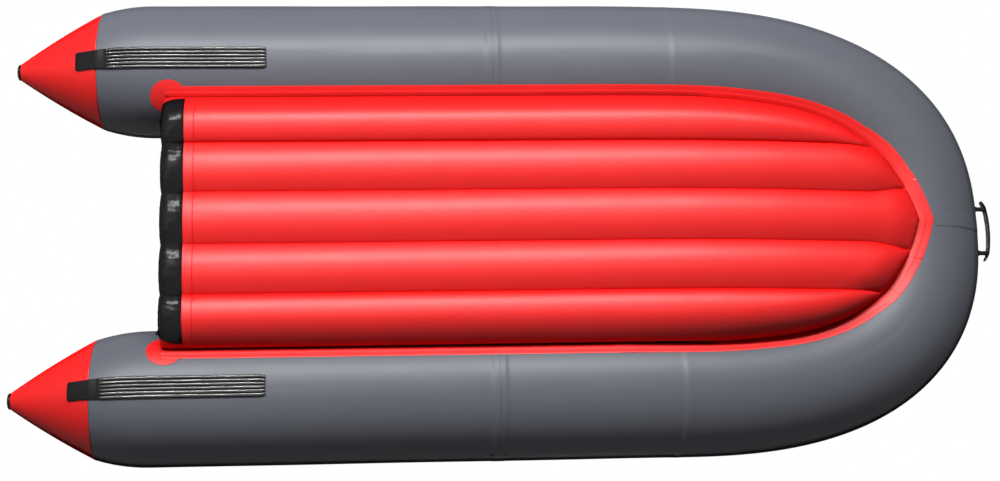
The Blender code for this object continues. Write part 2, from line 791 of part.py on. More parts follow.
def floor_columns(fractions, edge_y, beyond):
    """Lateral positions: the same fractions across each of five chambers."""
    creases = [VALLEY_INNER_Y, VALLEY_OUTER_Y, edge_y]
    half = []
    low = -VALLEY_INNER_Y
    for crease in creases:
        half += [low + f * (crease - low) for f in fractions[1:]]
        low = crease
    half = [y for y in half if y > 1e-6] + [edge_y + beyond]
    return np.array([-y for y in reversed(half)] + half)


CREST_EDGE = (1 - CREST_SHARE) / 2
FLOOR_FRACTIONS = (0.0, 0.12, 0.27, CREST_EDGE, 1 - CREST_EDGE, 0.73, 0.88, 1.0)
DECK_FRACTIONS = (0.0, 0.17, 0.39, 0.61, 0.83, 1.0)


def flared(x, y):
    """Grid columns that follow the spread of the inner creases."""
    near = np.clip((VALLEY_OUTER_Y - np.abs(y)) / (VALLEY_OUTER_Y - VALLEY_INNER_Y), 0.0, 1.0)
    return y * (1 + (crease_flare(x) - 1) * near)


def outline_cutter(name, edge, low_z, high_z):
    """Upright prism over the plan outline of a sheet's edge."""
    stations = [0.0, BULKHEAD_X] + bow_stations(BULKHEAD_X)[1:]
    points = [edge(s) for s in stations]
    points[-1][1] = 0.0
    port = [(p[0], p[1]) for p in points]
    starboard = [(x, -y) for x, y in reversed(port[:-1])]
    ring = port + starboard
    rings = [np.array([(x, y, z) for x, y in ring]) for z in (low_z, high_z)]
    return as_cutter(loft(name, rings))


def floor_sheet(name, height, rows, columns, edge, finish, offset):
    """A lobed sheet over a grid, with its thickness, cut to its outline."""
    x, y = np.meshgrid(rows, columns, indexing="ij")
    y = flared(x, y)
    points = np.stack([x, y, height(x, y)], -1)
    obj = grid(name, points)
    wall = obj.modifiers.new("thickness", "SOLIDIFY")
    wall.thickness = FLOOR_SHEET
    wall.offset = offset
    wall.use_even_offset = True
    outline = outline_cutter(f"{name}_outline", edge, -2 * TUBE_RADIUS, TUBE_RADIUS)
    boolean(obj, outline, "INTERSECT")
    return keep(obj, finish)


def rows_to_bow(front, shares):
    """Stations along the floor: its aft end, the straight, then the rise."""
    first = FLOOR_AFT_X + SHEET_SET_IN
    aft = [first, FLOOR_AFT_X + BAND_LENGTH, first + AFT_TAPER_LENGTH, FLOOR_RISE_START]
    return aft + [FLOOR_RISE_START + s * (front - FLOOR_RISE_START) for s in shares]


def floor_pieces():
    front = FLOOR_EDGE[-1, 0]
    rows = rows_to_bow(front, BOTTOM_ROWS) + [front + SHEET_MARGIN]
    columns = floor_columns(FLOOR_FRACTIONS, FLOOR_EDGE[0, 1], SHEET_MARGIN)
    floor_sheet("floor_bottom", bottom_height, rows, columns, floor_edge,
                red_fabric, -1.0)
    front = DECK_EDGE[-1, 0]
    rows = rows_to_bow(front, DECK_ROWS) + [front + SHEET_MARGIN]
    columns = floor_columns(DECK_FRACTIONS, DECK_EDGE[0, 1], SHEET_MARGIN)
    floor_sheet("floor_deck", deck_height, rows, columns, deck_edge,
                grey_fabric, 1.0)


def floor_webs():
    """Upright webs that hold the two sheets together along the creases."""
    marks = ((-VALLEY_OUTER_Y, "starboard_outer"), (-VALLEY_INNER_Y, "starboard_inner"),
             (VALLEY_INNER_Y, "port_inner"), (VALLEY_OUTER_Y, "port_outer"))
    clear = FLOOR_SHEET + WEB_CLEARANCE
    for y, label in marks:
        reach = abs(y) + WEB_END_ROOM
        front = float(np.interp(reach, DECK_EDGE[::-1, 1], DECK_EDGE[::-1, 0])) - WEB_END_ROOM
        stations = [FLOOR_AFT_X + SHEET_SET_IN + WEB_AFT_ROOM]
        stations += [FLOOR_RISE_START + s * (front - FLOOR_RISE_START) for s in WEB_ROWS]
        low = [(s, float(bottom_height(s, y)) + clear) for s in stations]
        high = [(s, float(deck_height(s, y)) - clear) for s in reversed(stations)]
        obj = plate(f"floor_web_{label}", low + high, WEB_THICKNESS)
        obj.matrix_local = Matrix.Translation((0, y, 0)) @ Matrix.Rotation(math.pi / 2, 4, "X")
        keep(obj, red_fabric, smooth=0)


def band_section(y):
    """The wear band's inner face at one place across: over, round and under."""
    over_y = y * DECK_EDGE[0, 1] / FLOOR_EDGE[0, 1]
    bulge = float(chamber_bulge(np.array(FLOOR_AFT_X), np.array(y)))
    aft = FLOOR_AFT_X - BAND_ROOM - BAND_BULGE * bulge
    over_x = FLOOR_AFT_X + BAND_OVER_LENGTH
    start = FLOOR_AFT_X + SHEET_SET_IN
    low = float(bottom_height(start, y)) - CUT_GAP
    high = float(deck_height(over_x, over_y)) + BAND_ROOM
    end_x = FLOOR_AFT_X + BAND_LENGTH
    tall = high - low
    points = [(over_x, 1.0, high), (start - 0.004, 1.0, high)]
    points += [(aft, share, low + share * tall) for share in BAND_FOLD_SHARES]
    points += [(start, 0.0, low),
              (end_x, 0.0, float(bottom_height(end_x, y)) - CUT_GAP)]
    return [(x, y + (over_y - y) * share, z) for x, share, z in points]


def floor_band():
    """Wear band that folds round the floor's aft end, from deck to bottom."""
    columns = floor_columns(FLOOR_FRACTIONS, FLOOR_EDGE[0, 1], 0.0)[1:-1]
    columns[[0, -1]] *= 1 - BAND_SIDE_ROOM / FLOOR_EDGE[0, 1]
    sections = np.array([band_section(y) for y in columns])
    obj = grid("floor_wear_band", sections.transpose(1, 0, 2))
    wall = obj.modifiers.new("thickness", "SOLIDIFY")
    wall.thickness = BAND_THICKNESS
    wall.offset = 1.0
    wall.use_even_offset = True
    keep(obj, black_rubber)


def strake_surface(x):
    """Radius of what the strake lies on: the cone, then the tube."""
    if x >= 0:
        return float(tube_radius(x))
    slope = (CONE_ROOT_RADIUS - CONE_MIDDLE_RADIUS) / (CONE_LENGTH - CAP_LENGTH) * 2
    return CONE_ROOT_RADIUS + slope * x


def strake_section(x, side, ribs, taper):
    """Closed section: a flat base with rounded ribs along its outer face."""
    centre = math.radians(STRAKE_ANGLE)
    radius = strake_surface(x) + CUT_GAP
    half = STRAKE_WIDTH / 2 * taper

    def place(across, height):
        turn = centre + across / radius
        r = radius + height
        return (x, side * (HALF_SPACING - r * math.sin(turn)), -r * math.cos(turn))

    ring = [place(a, 0.0) for a in np.linspace(-half, half, 6)]
    pitch = 2 * half / STRAKE_RIBS
    top = STRAKE_BASE + STRAKE_RIB * ribs
    outer = [(-half, STRAKE_BASE * 0.5)]
    for k in range(STRAKE_RIBS):
        start = -half + k * pitch
        outer += [(start + share * pitch, top) for share in STRAKE_RIB_FLAT]
        if k < STRAKE_RIBS - 1:
            outer.append((start + pitch, STRAKE_BASE))
    outer.append((half, STRAKE_BASE * 0.5))
    ring += [place(a, h) for a, h in reversed(outer)]
    return np.array(ring)


def strake(side_name, side):
    aft, forward = STRAKE_AFT_TAPER, STRAKE_FORWARD_TAPER
    stations = [(STRAKE_AFT_X, 0.0, aft[0]), (STRAKE_AFT_X + 0.008, 0.0, aft[1]),
                (-0.03, 0.0, 1.0), (0.0, 0.0, 1.0), (STRAKE_STEP_X - 0.004, 0.0, 1.0),
                (STRAKE_STEP_X, 1.0, 1.0), (0.07, 1.0, 1.0), (0.12, 1.0, 1.0),
                (SHOULDER_LENGTH, 1.0, 1.0), (STRAKE_FORWARD_X - STRAKE_RUN_OUT, 1.0, 1.0),
                (STRAKE_FORWARD_X - STRAKE_RUN_OUT / 4, 0.7, forward[0]),
                (STRAKE_FORWARD_X, 0.1, forward[1])]
    rings = [strake_section(x, side, ribs, taper) for x, ribs, taper in stations]
    keep(loft(f"strake_{side_name}", rings), black_rubber)


# Transom, in its own frame: x forward, z up from the board's lower edge
def deck_crest(x):
    return float(valley_height(x)) + FLOOR_THICKNESS + DECK_LOBE


BOARD_BOTTOM = deck_crest(TRANSOM_X) + BOARD_DECK_ROOM
BOARD_HEIGHT = BOARD_TOP - BOARD_BOTTOM


def board_outline(grow=0.0):
    """Half-round upper corners and a shallow cut-out for the motor bracket."""
    half = BOARD_WIDTH / 2 + grow
    top, low = BOARD_HEIGHT + grow, -grow
    cut, dip = MOTOR_CUTOUT_WIDTH / 2, MOTOR_CUTOUT_DEPTH
    right = [(half, low)]
    for k in range(6):
        turn = math.pi / 2 * k / 5
        right.append((half - BOARD_CORNER + BOARD_CORNER * math.cos(turn),
                      top - BOARD_CORNER + BOARD_CORNER * math.sin(turn)))
    for k in range(5):
        share = k / 4
        right.append((cut + MOTOR_CUTOUT_EASE * (1 - share),
                      top - dip * float(smooth_step(share))))
    return right + [(-y, z) for y, z in reversed(right)]


def upright(obj, x, carrier):
    """Stands a flat plate across the boat at a distance forward."""
    stand = Matrix(((0, 0, 1, x), (1, 0, 0, 0), (0, 1, 0, 0), (0, 0, 0, 1)))
    obj.matrix_local = stand
    return obj


def transom(rake):
    board = plate("transom_board", board_outline(), BOARD_THICKNESS, BOARD_EDGE)
    board = made_mesh(upright(board, 0.0, rake))
    drain_hole = cylinder("drain_hole", DRAIN_RADIUS + DRAIN_WALL + GAP, 0.1)
    drain_hole.matrix_local = (Matrix.Translation((-0.05, DRAIN_Y, DRAIN_HEIGHT))
                               @ Matrix.Rotation(math.pi / 2, 4, "Y"))
    as_cutter(drain_hole, rake)
    keep(board, lambda n: material(n, (0.30, 0.17, 0.08), 0.5), rake)
    boolean(board, drain_hole)
    face = BOARD_THICKNESS / 2 + GAP
    middle = BOARD_HEIGHT - MOTOR_CUTOUT_DEPTH - MOTOR_PAD_HEIGHT / 2 - MOTOR_PAD_DROP
    for label, sign in (("outer", -1), ("inner", 1)):
        outline = rounded_rectangle(MOTOR_PAD_WIDTH, MOTOR_PAD_HEIGHT, MOTOR_PAD_CORNER, 3,
                                    (0.0, middle))
        pad = plate(f"motor_pad_{label}", outline, MOTOR_PAD_THICKNESS, MOTOR_PAD_EDGE)
        upright(pad, sign * (face + MOTOR_PAD_THICKNESS / 2), rake)
        keep(made_mesh(pad), black_plastic, rake)


def drain(rake):
    """Flanged drain tube through the board, with a plug from the inside."""
    half = BOARD_THICKNESS / 2
    outer, bore = DRAIN_RADIUS + DRAIN_WALL, DRAIN_RADIUS
    long = half + DRAIN_PAST_BOARD
    face = -half - DRAIN_FLANGE_THICKNESS
    profile = [(bore, long), (outer, long), (outer, -half - GAP), (DRAIN_FLANGE, -half - GAP),
               (DRAIN_FLANGE, -half - DRAIN_FLANGE_EDGE), (DRAIN_FLANGE - DRAIN_FLANGE_EDGE, face),
               (bore, face), (bore, long)]
    turn = Matrix.Translation((0.0, DRAIN_Y, DRAIN_HEIGHT)) @ Matrix.Rotation(math.pi / 2, 4, "Y")
    body = turned("drain_tube", profile)
    body.matrix_local = turn
    keep(body, black_plastic, rake, smooth=0)
    plug_radius = bore - RUN_GAP / 2
    head = bore + PLUG_HEAD
    pull_top, inner_end = long + PLUG_PULL_HEIGHT, -half + PLUG_HEAD
    profile = [(0.0, pull_top), (PLUG_PULL_RADIUS, pull_top), (PLUG_PULL_ROOT, long + PLUG_HEAD),
               (head, long + PLUG_HEAD), (head, long + GAP), (plug_radius, long + GAP),
               (plug_radius - PLUG_CHAMFER, inner_end), (0.0, inner_end)]
    plug = turned("drain_plug", profile)
    pull = empty("drain_plug_slide", rake)
    pull.matrix_local = turn
    keep(plug, black_rubber, pull, smooth=0)


def transom_holder(side_name, side, rake):
    """Moulded channel for the board's edge on a flange curved to the tube."""
    name = f"transom_holder_{side_name}"
    low_x, high_x = TRANSOM_X - HOLDER_LENGTH / 2, TRANSOM_X + HOLDER_LENGTH / 2
    reach = HOLDER_ARC / 2
    flange = arc_band(name, low_x, high_x, 90 - reach, 90 + reach, HOLDER_FLANGE, side, 8)
    wide = BOARD_THICKNESS / 2 + GAP + HOLDER_WALL
    inner_y = BOARD_WIDTH / 2 - HOLDER_GRIP
    middle = -BOARD_BOTTOM
    low, high = middle - HOLDER_HEIGHT / 2, middle + HOLDER_HEIGHT / 2
    ends = sorted((side * inner_y, side * (HALF_SPACING - TUBE_RADIUS * HOLDER_REACH_SHARE)))
    channel = block(f"{name}_channel", (-wide, ends[0], low), (wide, ends[1], high))
    as_cutter(channel, rake)
    boolean(flange, channel, "UNION")
    tube = tube_cutter(f"{name}_tube", side, TUBE_RADIUS + CUT_GAP, low_x - 0.1, high_x + 0.1)
    boolean(flange, tube)
    slot_y = sorted((side * (inner_y - 0.02), side * (BOARD_WIDTH / 2 + GAP)))
    slot = block(f"{name}_slot", (-BOARD_THICKNESS / 2 - GAP, slot_y[0], low - 0.02),
                 (BOARD_THICKNESS / 2 + GAP, slot_y[1], high + 0.02))
    as_cutter(slot, rake)
    boolean(flange, slot)
    keep(flange, black_rubber)


# Seats slide on T rails; sections are drawn in the rail's radial frame
def rail_section():
    """T section as (across, out) points, its foot curved to the tube."""
    half = RAIL_BASE_WIDTH / 2
    foot = []
    for across in np.linspace(-half, half, 5):
        foot.append((across, GAP + math.sqrt(TUBE_RADIUS ** 2 - across ** 2) - TUBE_RADIUS))
    edge = foot[0][1] + RAIL_EDGE
    neck, head = RAIL_NECK / 2, RAIL_HEAD / 2
    ply = GAP + RAIL_PLY
    top = ply + RAIL_PLY + SHOE_WALL + 2 * RUN_GAP
    upper = [(half, edge), (half * 0.5, ply), (neck, ply), (neck, top - RAIL_PLY),
             (head, top - RAIL_PLY), (head, top), (-head, top), (-head, top - RAIL_PLY),
             (-neck, top - RAIL_PLY), (-neck, ply), (-half * 0.5, ply), (-half, edge)]
    return foot + upper, ply, top


def along_tube(name, section, low_x, length, angle, side):
    """A section of (across, out) points run straight along the tube."""
    rings = []
    for x in (low_x, low_x + length):
        frame = radial_frame(x, angle, side)
        rings.append(np.array([frame @ Vector((0.0, across, out)) for across, out in section]))
    return loft(name, rings)


def seat_rail(side_name, side):
    section = rail_section()[0]
    obj = along_tube(f"seat_rail_{side_name}", section, RAIL_AFT_X, RAIL_LENGTH, RAIL_ANGLE, side)
    keep(obj, black_rubber)


def seat_underside():
    """Height that clears the tubes under the seat's ends and the shoes' tops."""
    end = abs(HALF_SPACING - SEAT_LENGTH / 2)
    tube_top = math.sqrt(TUBE_RADIUS ** 2 - end ** 2)
    ceiling = rail_section()[2] + RUN_GAP
    wide = RAIL_HEAD / 2 + RUN_GAP + SHOE_WALL
    corner = radial_frame(0.0, RAIL_ANGLE, 1) @ Vector((0.0, wide, ceiling))
    return max(tube_top + SEAT_ABOVE_TUBE, corner.z + SHOE_TOP_WALL)


SEAT_UNDERSIDE = seat_underside()


def seat_shoe(name, x, side, slide):
    """C shaped shoe round the rail's head, with a flat top under the board."""
    _, ply, top = rail_section()
    head, neck = RAIL_HEAD / 2 + RUN_GAP, RAIL_NECK / 2 + RUN_GAP
    wide = head + SHOE_WALL
    low = ply + RUN_GAP
    lip = low + SHOE_WALL
    ceiling = top + RUN_GAP
    frame = radial_frame(0.0, RAIL_ANGLE, side)
    level = SEAT_UNDERSIDE - GAP

    def to_hull(across, out):
        point = frame @ Vector((0.0, across, out))
        return (point.y, point.z)

    def lifted(across):
        """Where a line up the shoe's flank reaches the board's underside."""
        foot = frame @ Vector((0.0, across, ceiling))
        out = frame.to_3x3() @ Vector((0.0, 0.0, 1.0))
        rise = (level - foot.z) / out.z
        point = foot + out * rise
        return (point.y, point.z)

    points = [to_hull(-wide, low), to_hull(-neck, low), to_hull(-neck, lip),
              to_hull(-head, lip), to_hull(-head, ceiling), to_hull(head, ceiling),
              to_hull(head, lip), to_hull(neck, lip), to_hull(neck, low),
              to_hull(wide, low), lifted(wide), lifted(-wide)]
    rings = []
    for end in (-SHOE_LENGTH / 2, SHOE_LENGTH / 2):
        rings.append(np.array([(end, y, z) for y, z in points]))
    obj = loft(name, rings)
    keep(obj, black_plastic, slide)


def seat(label, x):
    slide = empty(f"seat_{label}_slide", datum)
    slide.location = (x, 0.0, 0.0)
    outline = rounded_rectangle(SEAT_WIDTH, SEAT_LENGTH, SEAT_CORNER, 4)
    board = plate(f"seat_{label}_board", outline, SEAT_THICKNESS, SEAT_EDGE)
    board.location = (0.0, 0.0, SEAT_UNDERSIDE + SEAT_THICKNESS / 2)
    keep(made_mesh(board), lambda n: material(n, (0.42, 0.27, 0.14), 0.5), slide)
    for side_name, side in SIDES.items():
        seat_shoe(f"seat_{label}_shoe_{side_name}", x, side, slide)


def rowlock(side_name, side):
    """Dished pad with a socket on the tube's top, and a turning horn."""
    frame = radial_frame(ROWLOCK_X, ROWLOCK_ANGLE, side)
    hub, tall = ROWLOCK_HUB_RADIUS, ROWLOCK_HUB_HEIGHT
    socket = ROWLOCK_PIN_RADIUS + PIN_GAP
    floor = tall - ROWLOCK_SOCKET_DEPTH
    edge, root = ROWLOCK_HUB_EDGE, ROWLOCK_HUB_ROOT
    profile = [(0.0, floor), (socket, floor), (socket, tall), (hub - edge, tall),
               (hub, tall - edge), (hub + edge, root), (hub + root, ROWLOCK_BASE_EDGE),
               (ROWLOCK_BASE_RADIUS, ROWLOCK_BASE_LIP), (ROWLOCK_BASE_RADIUS, ROWLOCK_UNDERSIDE),
               (0.0, ROWLOCK_UNDERSIDE)]
    base = turned(f"rowlock_base_{side_name}", profile[::-1], 20)
    base.matrix_local = frame
    low, high = ROWLOCK_X - 0.1, ROWLOCK_X + 0.1
    boolean(base, tube_cutter(f"rowlock_tube_{side_name}", side, TUBE_RADIUS + CUT_GAP, low, high))
    keep(base, black_rubber, smooth=0)

    pivot = empty(f"rowlock_turn_{side_name}", datum)
    pivot.matrix_local = frame
    bend = FORK_INNER_RADIUS + FORK_WIRE_RADIUS
    centre_z = tall + FORK_ABOVE_HUB + 2 * FORK_WIRE_RADIUS + FORK_INNER_RADIUS
    path = [(bend + FORK_FLARE, centre_z + FORK_HORN)]
    for k in range(9):
        turn = -math.pi * k / 8
        path.append((bend * math.cos(turn), centre_z + bend * math.sin(turn)))
    path.append((-bend - FORK_FLARE, centre_z + FORK_HORN))
    curve = bpy.data.curves.new("fork", "CURVE")
    curve.dimensions = "3D"
    curve.bevel_depth = FORK_WIRE_RADIUS
    curve.bevel_resolution = 2
    curve.use_fill_caps = True
    spline = curve.splines.new("POLY")
    spline.points.add(len(path) - 1)
    for point, (x, z) in zip(spline.points, path):
        point.co = (x, 0.0, z, 1.0)
    fork = made_mesh(bpy.data.objects.new(f"rowlock_horn_{side_name}", curve))
    shank_low = floor + 0.001
    neck = [(radius, tall + height) for radius, height in SHANK_NECK]
    outline = [(0.0, shank_low), (ROWLOCK_PIN_RADIUS, shank_low),
               (ROWLOCK_PIN_RADIUS, tall + GAP), (SHANK_COLLAR_RADIUS, tall + GAP),
               (SHANK_COLLAR_RADIUS, tall + SHANK_COLLAR)] + neck + [(0.0, neck[-1][1])]
    shank = turned(f"rowlock_shank_{side_name}", outline[::-1], 16)
    as_cutter(shank, pivot)
    boolean(fork, shank, "UNION")
    keep(fork, lambda n: material(n, (0.55, 0.56, 0.58), 0.3, 1.0), pivot)


def valve(label, frame, tube):
    """Flanged cup let into the wall, sprung button and bayonet cap."""
    wall = VALVE_BOWL_DEPTH + VALVE_WALL
    if tube is not None:
        pocket = cylinder(f"valve_pocket_{label}", VALVE_BODY_RADIUS + GAP, 0.06, 32)
        pocket.matrix_local = frame @ Matrix.Translation((0, 0, -VALVE_DEPTH - 0.008))
        as_cutter(pocket)
        boolean(tube, pocket)
    stem_hole = BUTTON_STEM_RADIUS + PIN_GAP
    face = VALVE_FLANGE
    in_by, down_by = VALVE_FLANGE_EDGE
    profile = [(VALVE_BOWL_RADIUS, face), (VALVE_FLANGE_RADIUS - in_by, face),
               (VALVE_FLANGE_RADIUS, face - down_by), (VALVE_FLANGE_RADIUS, GAP),
               (VALVE_BODY_RADIUS, GAP), (VALVE_BODY_RADIUS, -VALVE_DEPTH),
               (VALVE_BODY_RADIUS - VALVE_WALL, -VALVE_DEPTH), (VALVE_BODY_RADIUS - VALVE_WALL, -wall),
               (stem_hole, -wall), (stem_hole, -VALVE_BOWL_DEPTH),
               (VALVE_BOWL_RADIUS, -VALVE_BOWL_DEPTH), (VALVE_BOWL_RADIUS, face)]
    body = turned(f"valve_body_{label}", profile)
    body.matrix_local = frame
    keep(body, black_plastic, smooth=0)

    press = empty(f"valve_press_{label}", datum)
    press.matrix_local = frame
    head_low = -VALVE_BOWL_DEPTH + BUTTON_TRAVEL + BUTTON_CLEARANCE
    head_high = head_low + BUTTON_HEAD
    seat_z = -wall - GAP
    end_z = seat_z - RETAINER_THICKNESS
    profile = [(0.0, head_high), (BUTTON_RADIUS - 0.001, head_high), (BUTTON_RADIUS, head_high - 0.001),
               (BUTTON_RADIUS, head_low), (BUTTON_STEM_RADIUS, head_low),
               (BUTTON_STEM_RADIUS, seat_z), (RETAINER_RADIUS, seat_z), (RETAINER_RADIUS, end_z),
               (0.0, end_z)]
    button = turned(f"valve_button_{label}", profile, 12)
    keep(button, lambda n: material(n, (0.75, 0.75, 0.73), 0.4), press, smooth=0)

    twist = empty(f"valve_twist_{label}", datum)
    twist.matrix_local = frame
    low = face + GAP
    skirt = VALVE_BOWL_RADIUS - RUN_GAP
    inner, bottom, top = skirt - CAP_SKIRT_WALL, low - CAP_SKIRT, low + CAP_THICKNESS
    profile = [(0.0, top), (CAP_RADIUS - in_by, top), (CAP_RADIUS, top - down_by),
               (CAP_RADIUS, low), (skirt, low), (skirt, bottom), (inner, bottom), (inner, low),
               (0.0, low)]
    cap = turned(f"valve_cap_{label}", profile)
    long, wide = CAP_RADIUS * CAP_GRIP_SHARE, CAP_GRIP_WIDTH / 2
    grip = block(f"valve_grip_{label}", (-long, -wide, top - 0.001),
                 (long, wide, top + CAP_GRIP_HEIGHT))
    as_cutter(grip, twist)
    boolean(cap, grip, "UNION")
    keep(cap, black_plastic, twist, smooth=0)


def valves(tubes):
    port, starboard = SIDES["port"], SIDES["starboard"]
    valve("port", radial_frame(VALVE_X, VALVE_ANGLE, port), tubes["port_aft"])
    valve("starboard", radial_frame(VALVE_X, VALVE_ANGLE, starboard), tubes["starboard_aft"])
    valve("bow", radial_frame(BOW_VALVE_X, VALVE_ANGLE, starboard), tubes["starboard_bow"])
    height = deck_crest(FLOOR_VALVE_X)
    frame = Matrix.Translation((FLOOR_VALVE_X, 0.0, height + GAP))
    deck = bpy.data.objects["floor_deck"]
    hole = cylinder("valve_pocket_floor", VALVE_BODY_RADIUS + GAP, 0.04, 32)
    hole.matrix_local = frame @ Matrix.Translation((0, 0, -0.02))
    as_cutter(hole)
    boolean(deck, hole)
    valve("floor", frame, None)


def leg_station():
    """Where the bow's outer face is half the legs' spacing off the middle."""
    stations = np.linspace(AXIS_LENGTH - HANDLE_LEG_SPACING / 2, AXIS_LENGTH, 40)
    offsets = [on_tube(s, -90.0, TUBE_RADIUS, 1)[1] for s in stations]
    return float(np.interp(HANDLE_LEG_SPACING / 2, offsets[::-1], stations[::-1]))


def handle_seat(name, side, size, low, high):
    """A slab over the bow's curve both ways, between two radii."""
    middle = leg_station()
    spread = math.degrees(size / 2 / TUBE_RADIUS)
    angles = np.linspace(-90 - spread, -90 + spread, 5)
    rings = []
    for station in np.linspace(middle - size / 2, middle + size / 2, 5):
        under = [on_tube(station, a, low, side) for a in angles]
        over = [on_tube(station, a, high, side) for a in reversed(angles)]
        rings.append(np.array(under + over))
    return loft(name, rings)


def bow_handle():
    """Curved band on two legs, each seated on its own glued pad."""
    height = BOW_RISE
    face = BOW_X + TUBE_RADIUS
    half = HANDLE_LENGTH / 2
    thick = HANDLE_BAND_THICKNESS
    count = 9
    shares = np.linspace(-1.0, 1.0, count)
    reach = np.abs(shares)
    curl = np.maximum(reach - HANDLE_CURL_START, 0.0) / (1 - HANDLE_CURL_START)
    lean = HANDLE_BEND * reach ** 2 + HANDLE_CURL * curl
    inner = np.stack([face + HANDLE_STANDOFF - thick - lean, shares * half], -1)
    step = np.gradient(inner, axis=0)
    step /= np.linalg.norm(step, axis=1)[:, None]
    normal = np.stack([step[:, 1], -step[:, 0]], -1)
    outer = inner + normal * (thick * (1 - HANDLE_END_TAPER * reach ** 3))[:, None]
    outline = [tuple(p) for p in inner] + [tuple(p) for p in outer[::-1]]
    band = made_mesh(plate("bow_handle", outline, HANDLE_BAND_WIDTH, HANDLE_EDGE))
    band.location = (0.0, 0.0, height)
    pad_low = TUBE_RADIUS + CUT_GAP
    pad_high = pad_low + HANDLE_PAD_THICKNESS
    for side_name, side in SIDES.items():
        y = side * HANDLE_LEG_SPACING / 2
        root = on_tube(leg_station(), -90.0, pad_low, side)[0]
        flare = root + HANDLE_FOOT_LENGTH
        wide = HANDLE_LEG_THICKNESS / 2
        foot = wide * HANDLE_FOOT_FLARE
        tip = face + HANDLE_STANDOFF - thick
        leg_outline = [(root, y - foot), (root, y + foot), (flare, y + wide),
                       (tip, y + wide), (tip, y - wide), (flare, y - wide)]
        leg = made_mesh(plate(f"handle_leg_{side_name}", leg_outline,
                              HANDLE_BAND_WIDTH * HANDLE_LEG_DEPTH_SHARE))
        leg.location = (0.0, 0.0, height)
        as_cutter(leg)
        boolean(band, leg, "UNION")
    for side_name, side in SIDES.items():
        room = handle_seat(f"handle_room_{side_name}", side, HANDLE_PAD_SIZE * HANDLE_PAD_ROOM,
                           pad_low - 0.02, pad_high + GAP)
        boolean(band, as_cutter(room))
        pad = handle_seat(f"bow_handle_pad_{side_name}", side, HANDLE_PAD_SIZE, pad_low, pad_high)
        keep(pad, black_rubber)
    keep(band, black_rubber)


clear_scene()
datum = empty("hull_datum")
HULL_AFT = -CONE_LENGTH
HULL_FORWARD = BOW_X + TUBE_RADIUS + HANDLE_STANDOFF
datum.location = (-(HULL_AFT + HULL_FORWARD) / 2, 0.0, FLOOR_CREST)
bpy.context.view_layer.update()

tubes = {}
for side_name, side in SIDES.items():
    tubes[f"{side_name}_aft"] = aft_tube(side_name, side)
    tubes[f"{side_name}_bow"] = bow_tube(side_name, side)
    baffle(side_name, side)
    stern_cone(side_name, side)
    floor_tape(side_name, side)
    tape_patch(side_name, side)
    strake(side_name, side)
bow_seam_tape()
floor_pieces()
floor_webs()
floor_band()

transom_rake = empty("transom_rake", datum)
transom_rake.location = (TRANSOM_X, 0.0, BOARD_BOTTOM)
transom_rake.rotation_euler = (0.0, math.radians(-TRANSOM_RAKE), 0.0)
bpy.context.view_layer.update()
transom(transom_rake)
drain(transom_rake)
for side_name, side in SIDES.items():
    transom_holder(side_name, side, transom_rake)
    seat_rail(side_name, side)
    rowlock(side_name, side)
seat("aft", SEAT_AFT_X)
seat("forward", SEAT_FORWARD_X)
valves(tubes)
bow_handle()
bpy.context.view_layer.update()
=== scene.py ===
"""Looks of an inflatable motor boat: coated fabric, rubber, plywood and metal.

The fixed model is loaded as it is. Its soft parts are built again here as fine
surfaces, in metres, and its rigid parts get their finishes.
"""

import math

import bmesh
import bpy
import numpy as np
from bpy.props import FloatProperty, FloatVectorProperty, PointerProperty
from bpy.types import Operator, Panel, PropertyGroup
from mathutils import Matrix, Vector


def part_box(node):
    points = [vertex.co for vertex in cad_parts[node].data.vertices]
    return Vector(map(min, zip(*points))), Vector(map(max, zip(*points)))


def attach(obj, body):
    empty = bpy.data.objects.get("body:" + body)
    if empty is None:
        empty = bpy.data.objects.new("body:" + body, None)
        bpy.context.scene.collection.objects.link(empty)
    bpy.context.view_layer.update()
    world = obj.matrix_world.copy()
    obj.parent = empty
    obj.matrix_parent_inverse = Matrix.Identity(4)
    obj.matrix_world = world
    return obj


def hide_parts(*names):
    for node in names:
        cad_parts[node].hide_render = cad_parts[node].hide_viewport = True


bl_info = {
    "name": "Inflatable Boat",
    "version": (1, 0, 0),
    "blender": (4, 5, 0),
    "location": "3D View > Sidebar > Boat",
    "description": "Builds the fabric, rubber and finishes of an inflatable motor boat",
    "category": "Add Mesh",
}

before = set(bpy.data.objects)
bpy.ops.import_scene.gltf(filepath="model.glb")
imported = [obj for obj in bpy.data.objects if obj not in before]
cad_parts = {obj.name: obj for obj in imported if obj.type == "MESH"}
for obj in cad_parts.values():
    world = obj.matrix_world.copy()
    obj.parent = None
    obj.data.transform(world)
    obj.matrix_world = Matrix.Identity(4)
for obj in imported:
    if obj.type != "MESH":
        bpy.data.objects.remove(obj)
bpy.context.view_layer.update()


def node_box(node):
    """Lowest and highest corner of a node, as arrays."""
    low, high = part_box(node)
    return np.array(low), np.array(high)


AFT_LOW, AFT_HIGH = node_box("tube_port_aft")
BOW_LOW, BOW_HIGH = node_box("tube_port_bow")
CONE_LOW, CONE_HIGH = node_box("cone_port")
CAP_LOW, CAP_HIGH = node_box("cone_cap_port")
STRAKE_LOW, STRAKE_HIGH = node_box("strake_port")
BOTTOM_LOW = node_box("floor_bottom")[0]
PATCH_LOW, PATCH_HIGH = node_box("tape_patch_port")
SEAM_LOW, SEAM_HIGH = node_box("bow_seam_tape")
HANDLE_LOW, HANDLE_HIGH = node_box("bow_handle")
PAD_LOW, PAD_HIGH = node_box("bow_handle_pad_port")

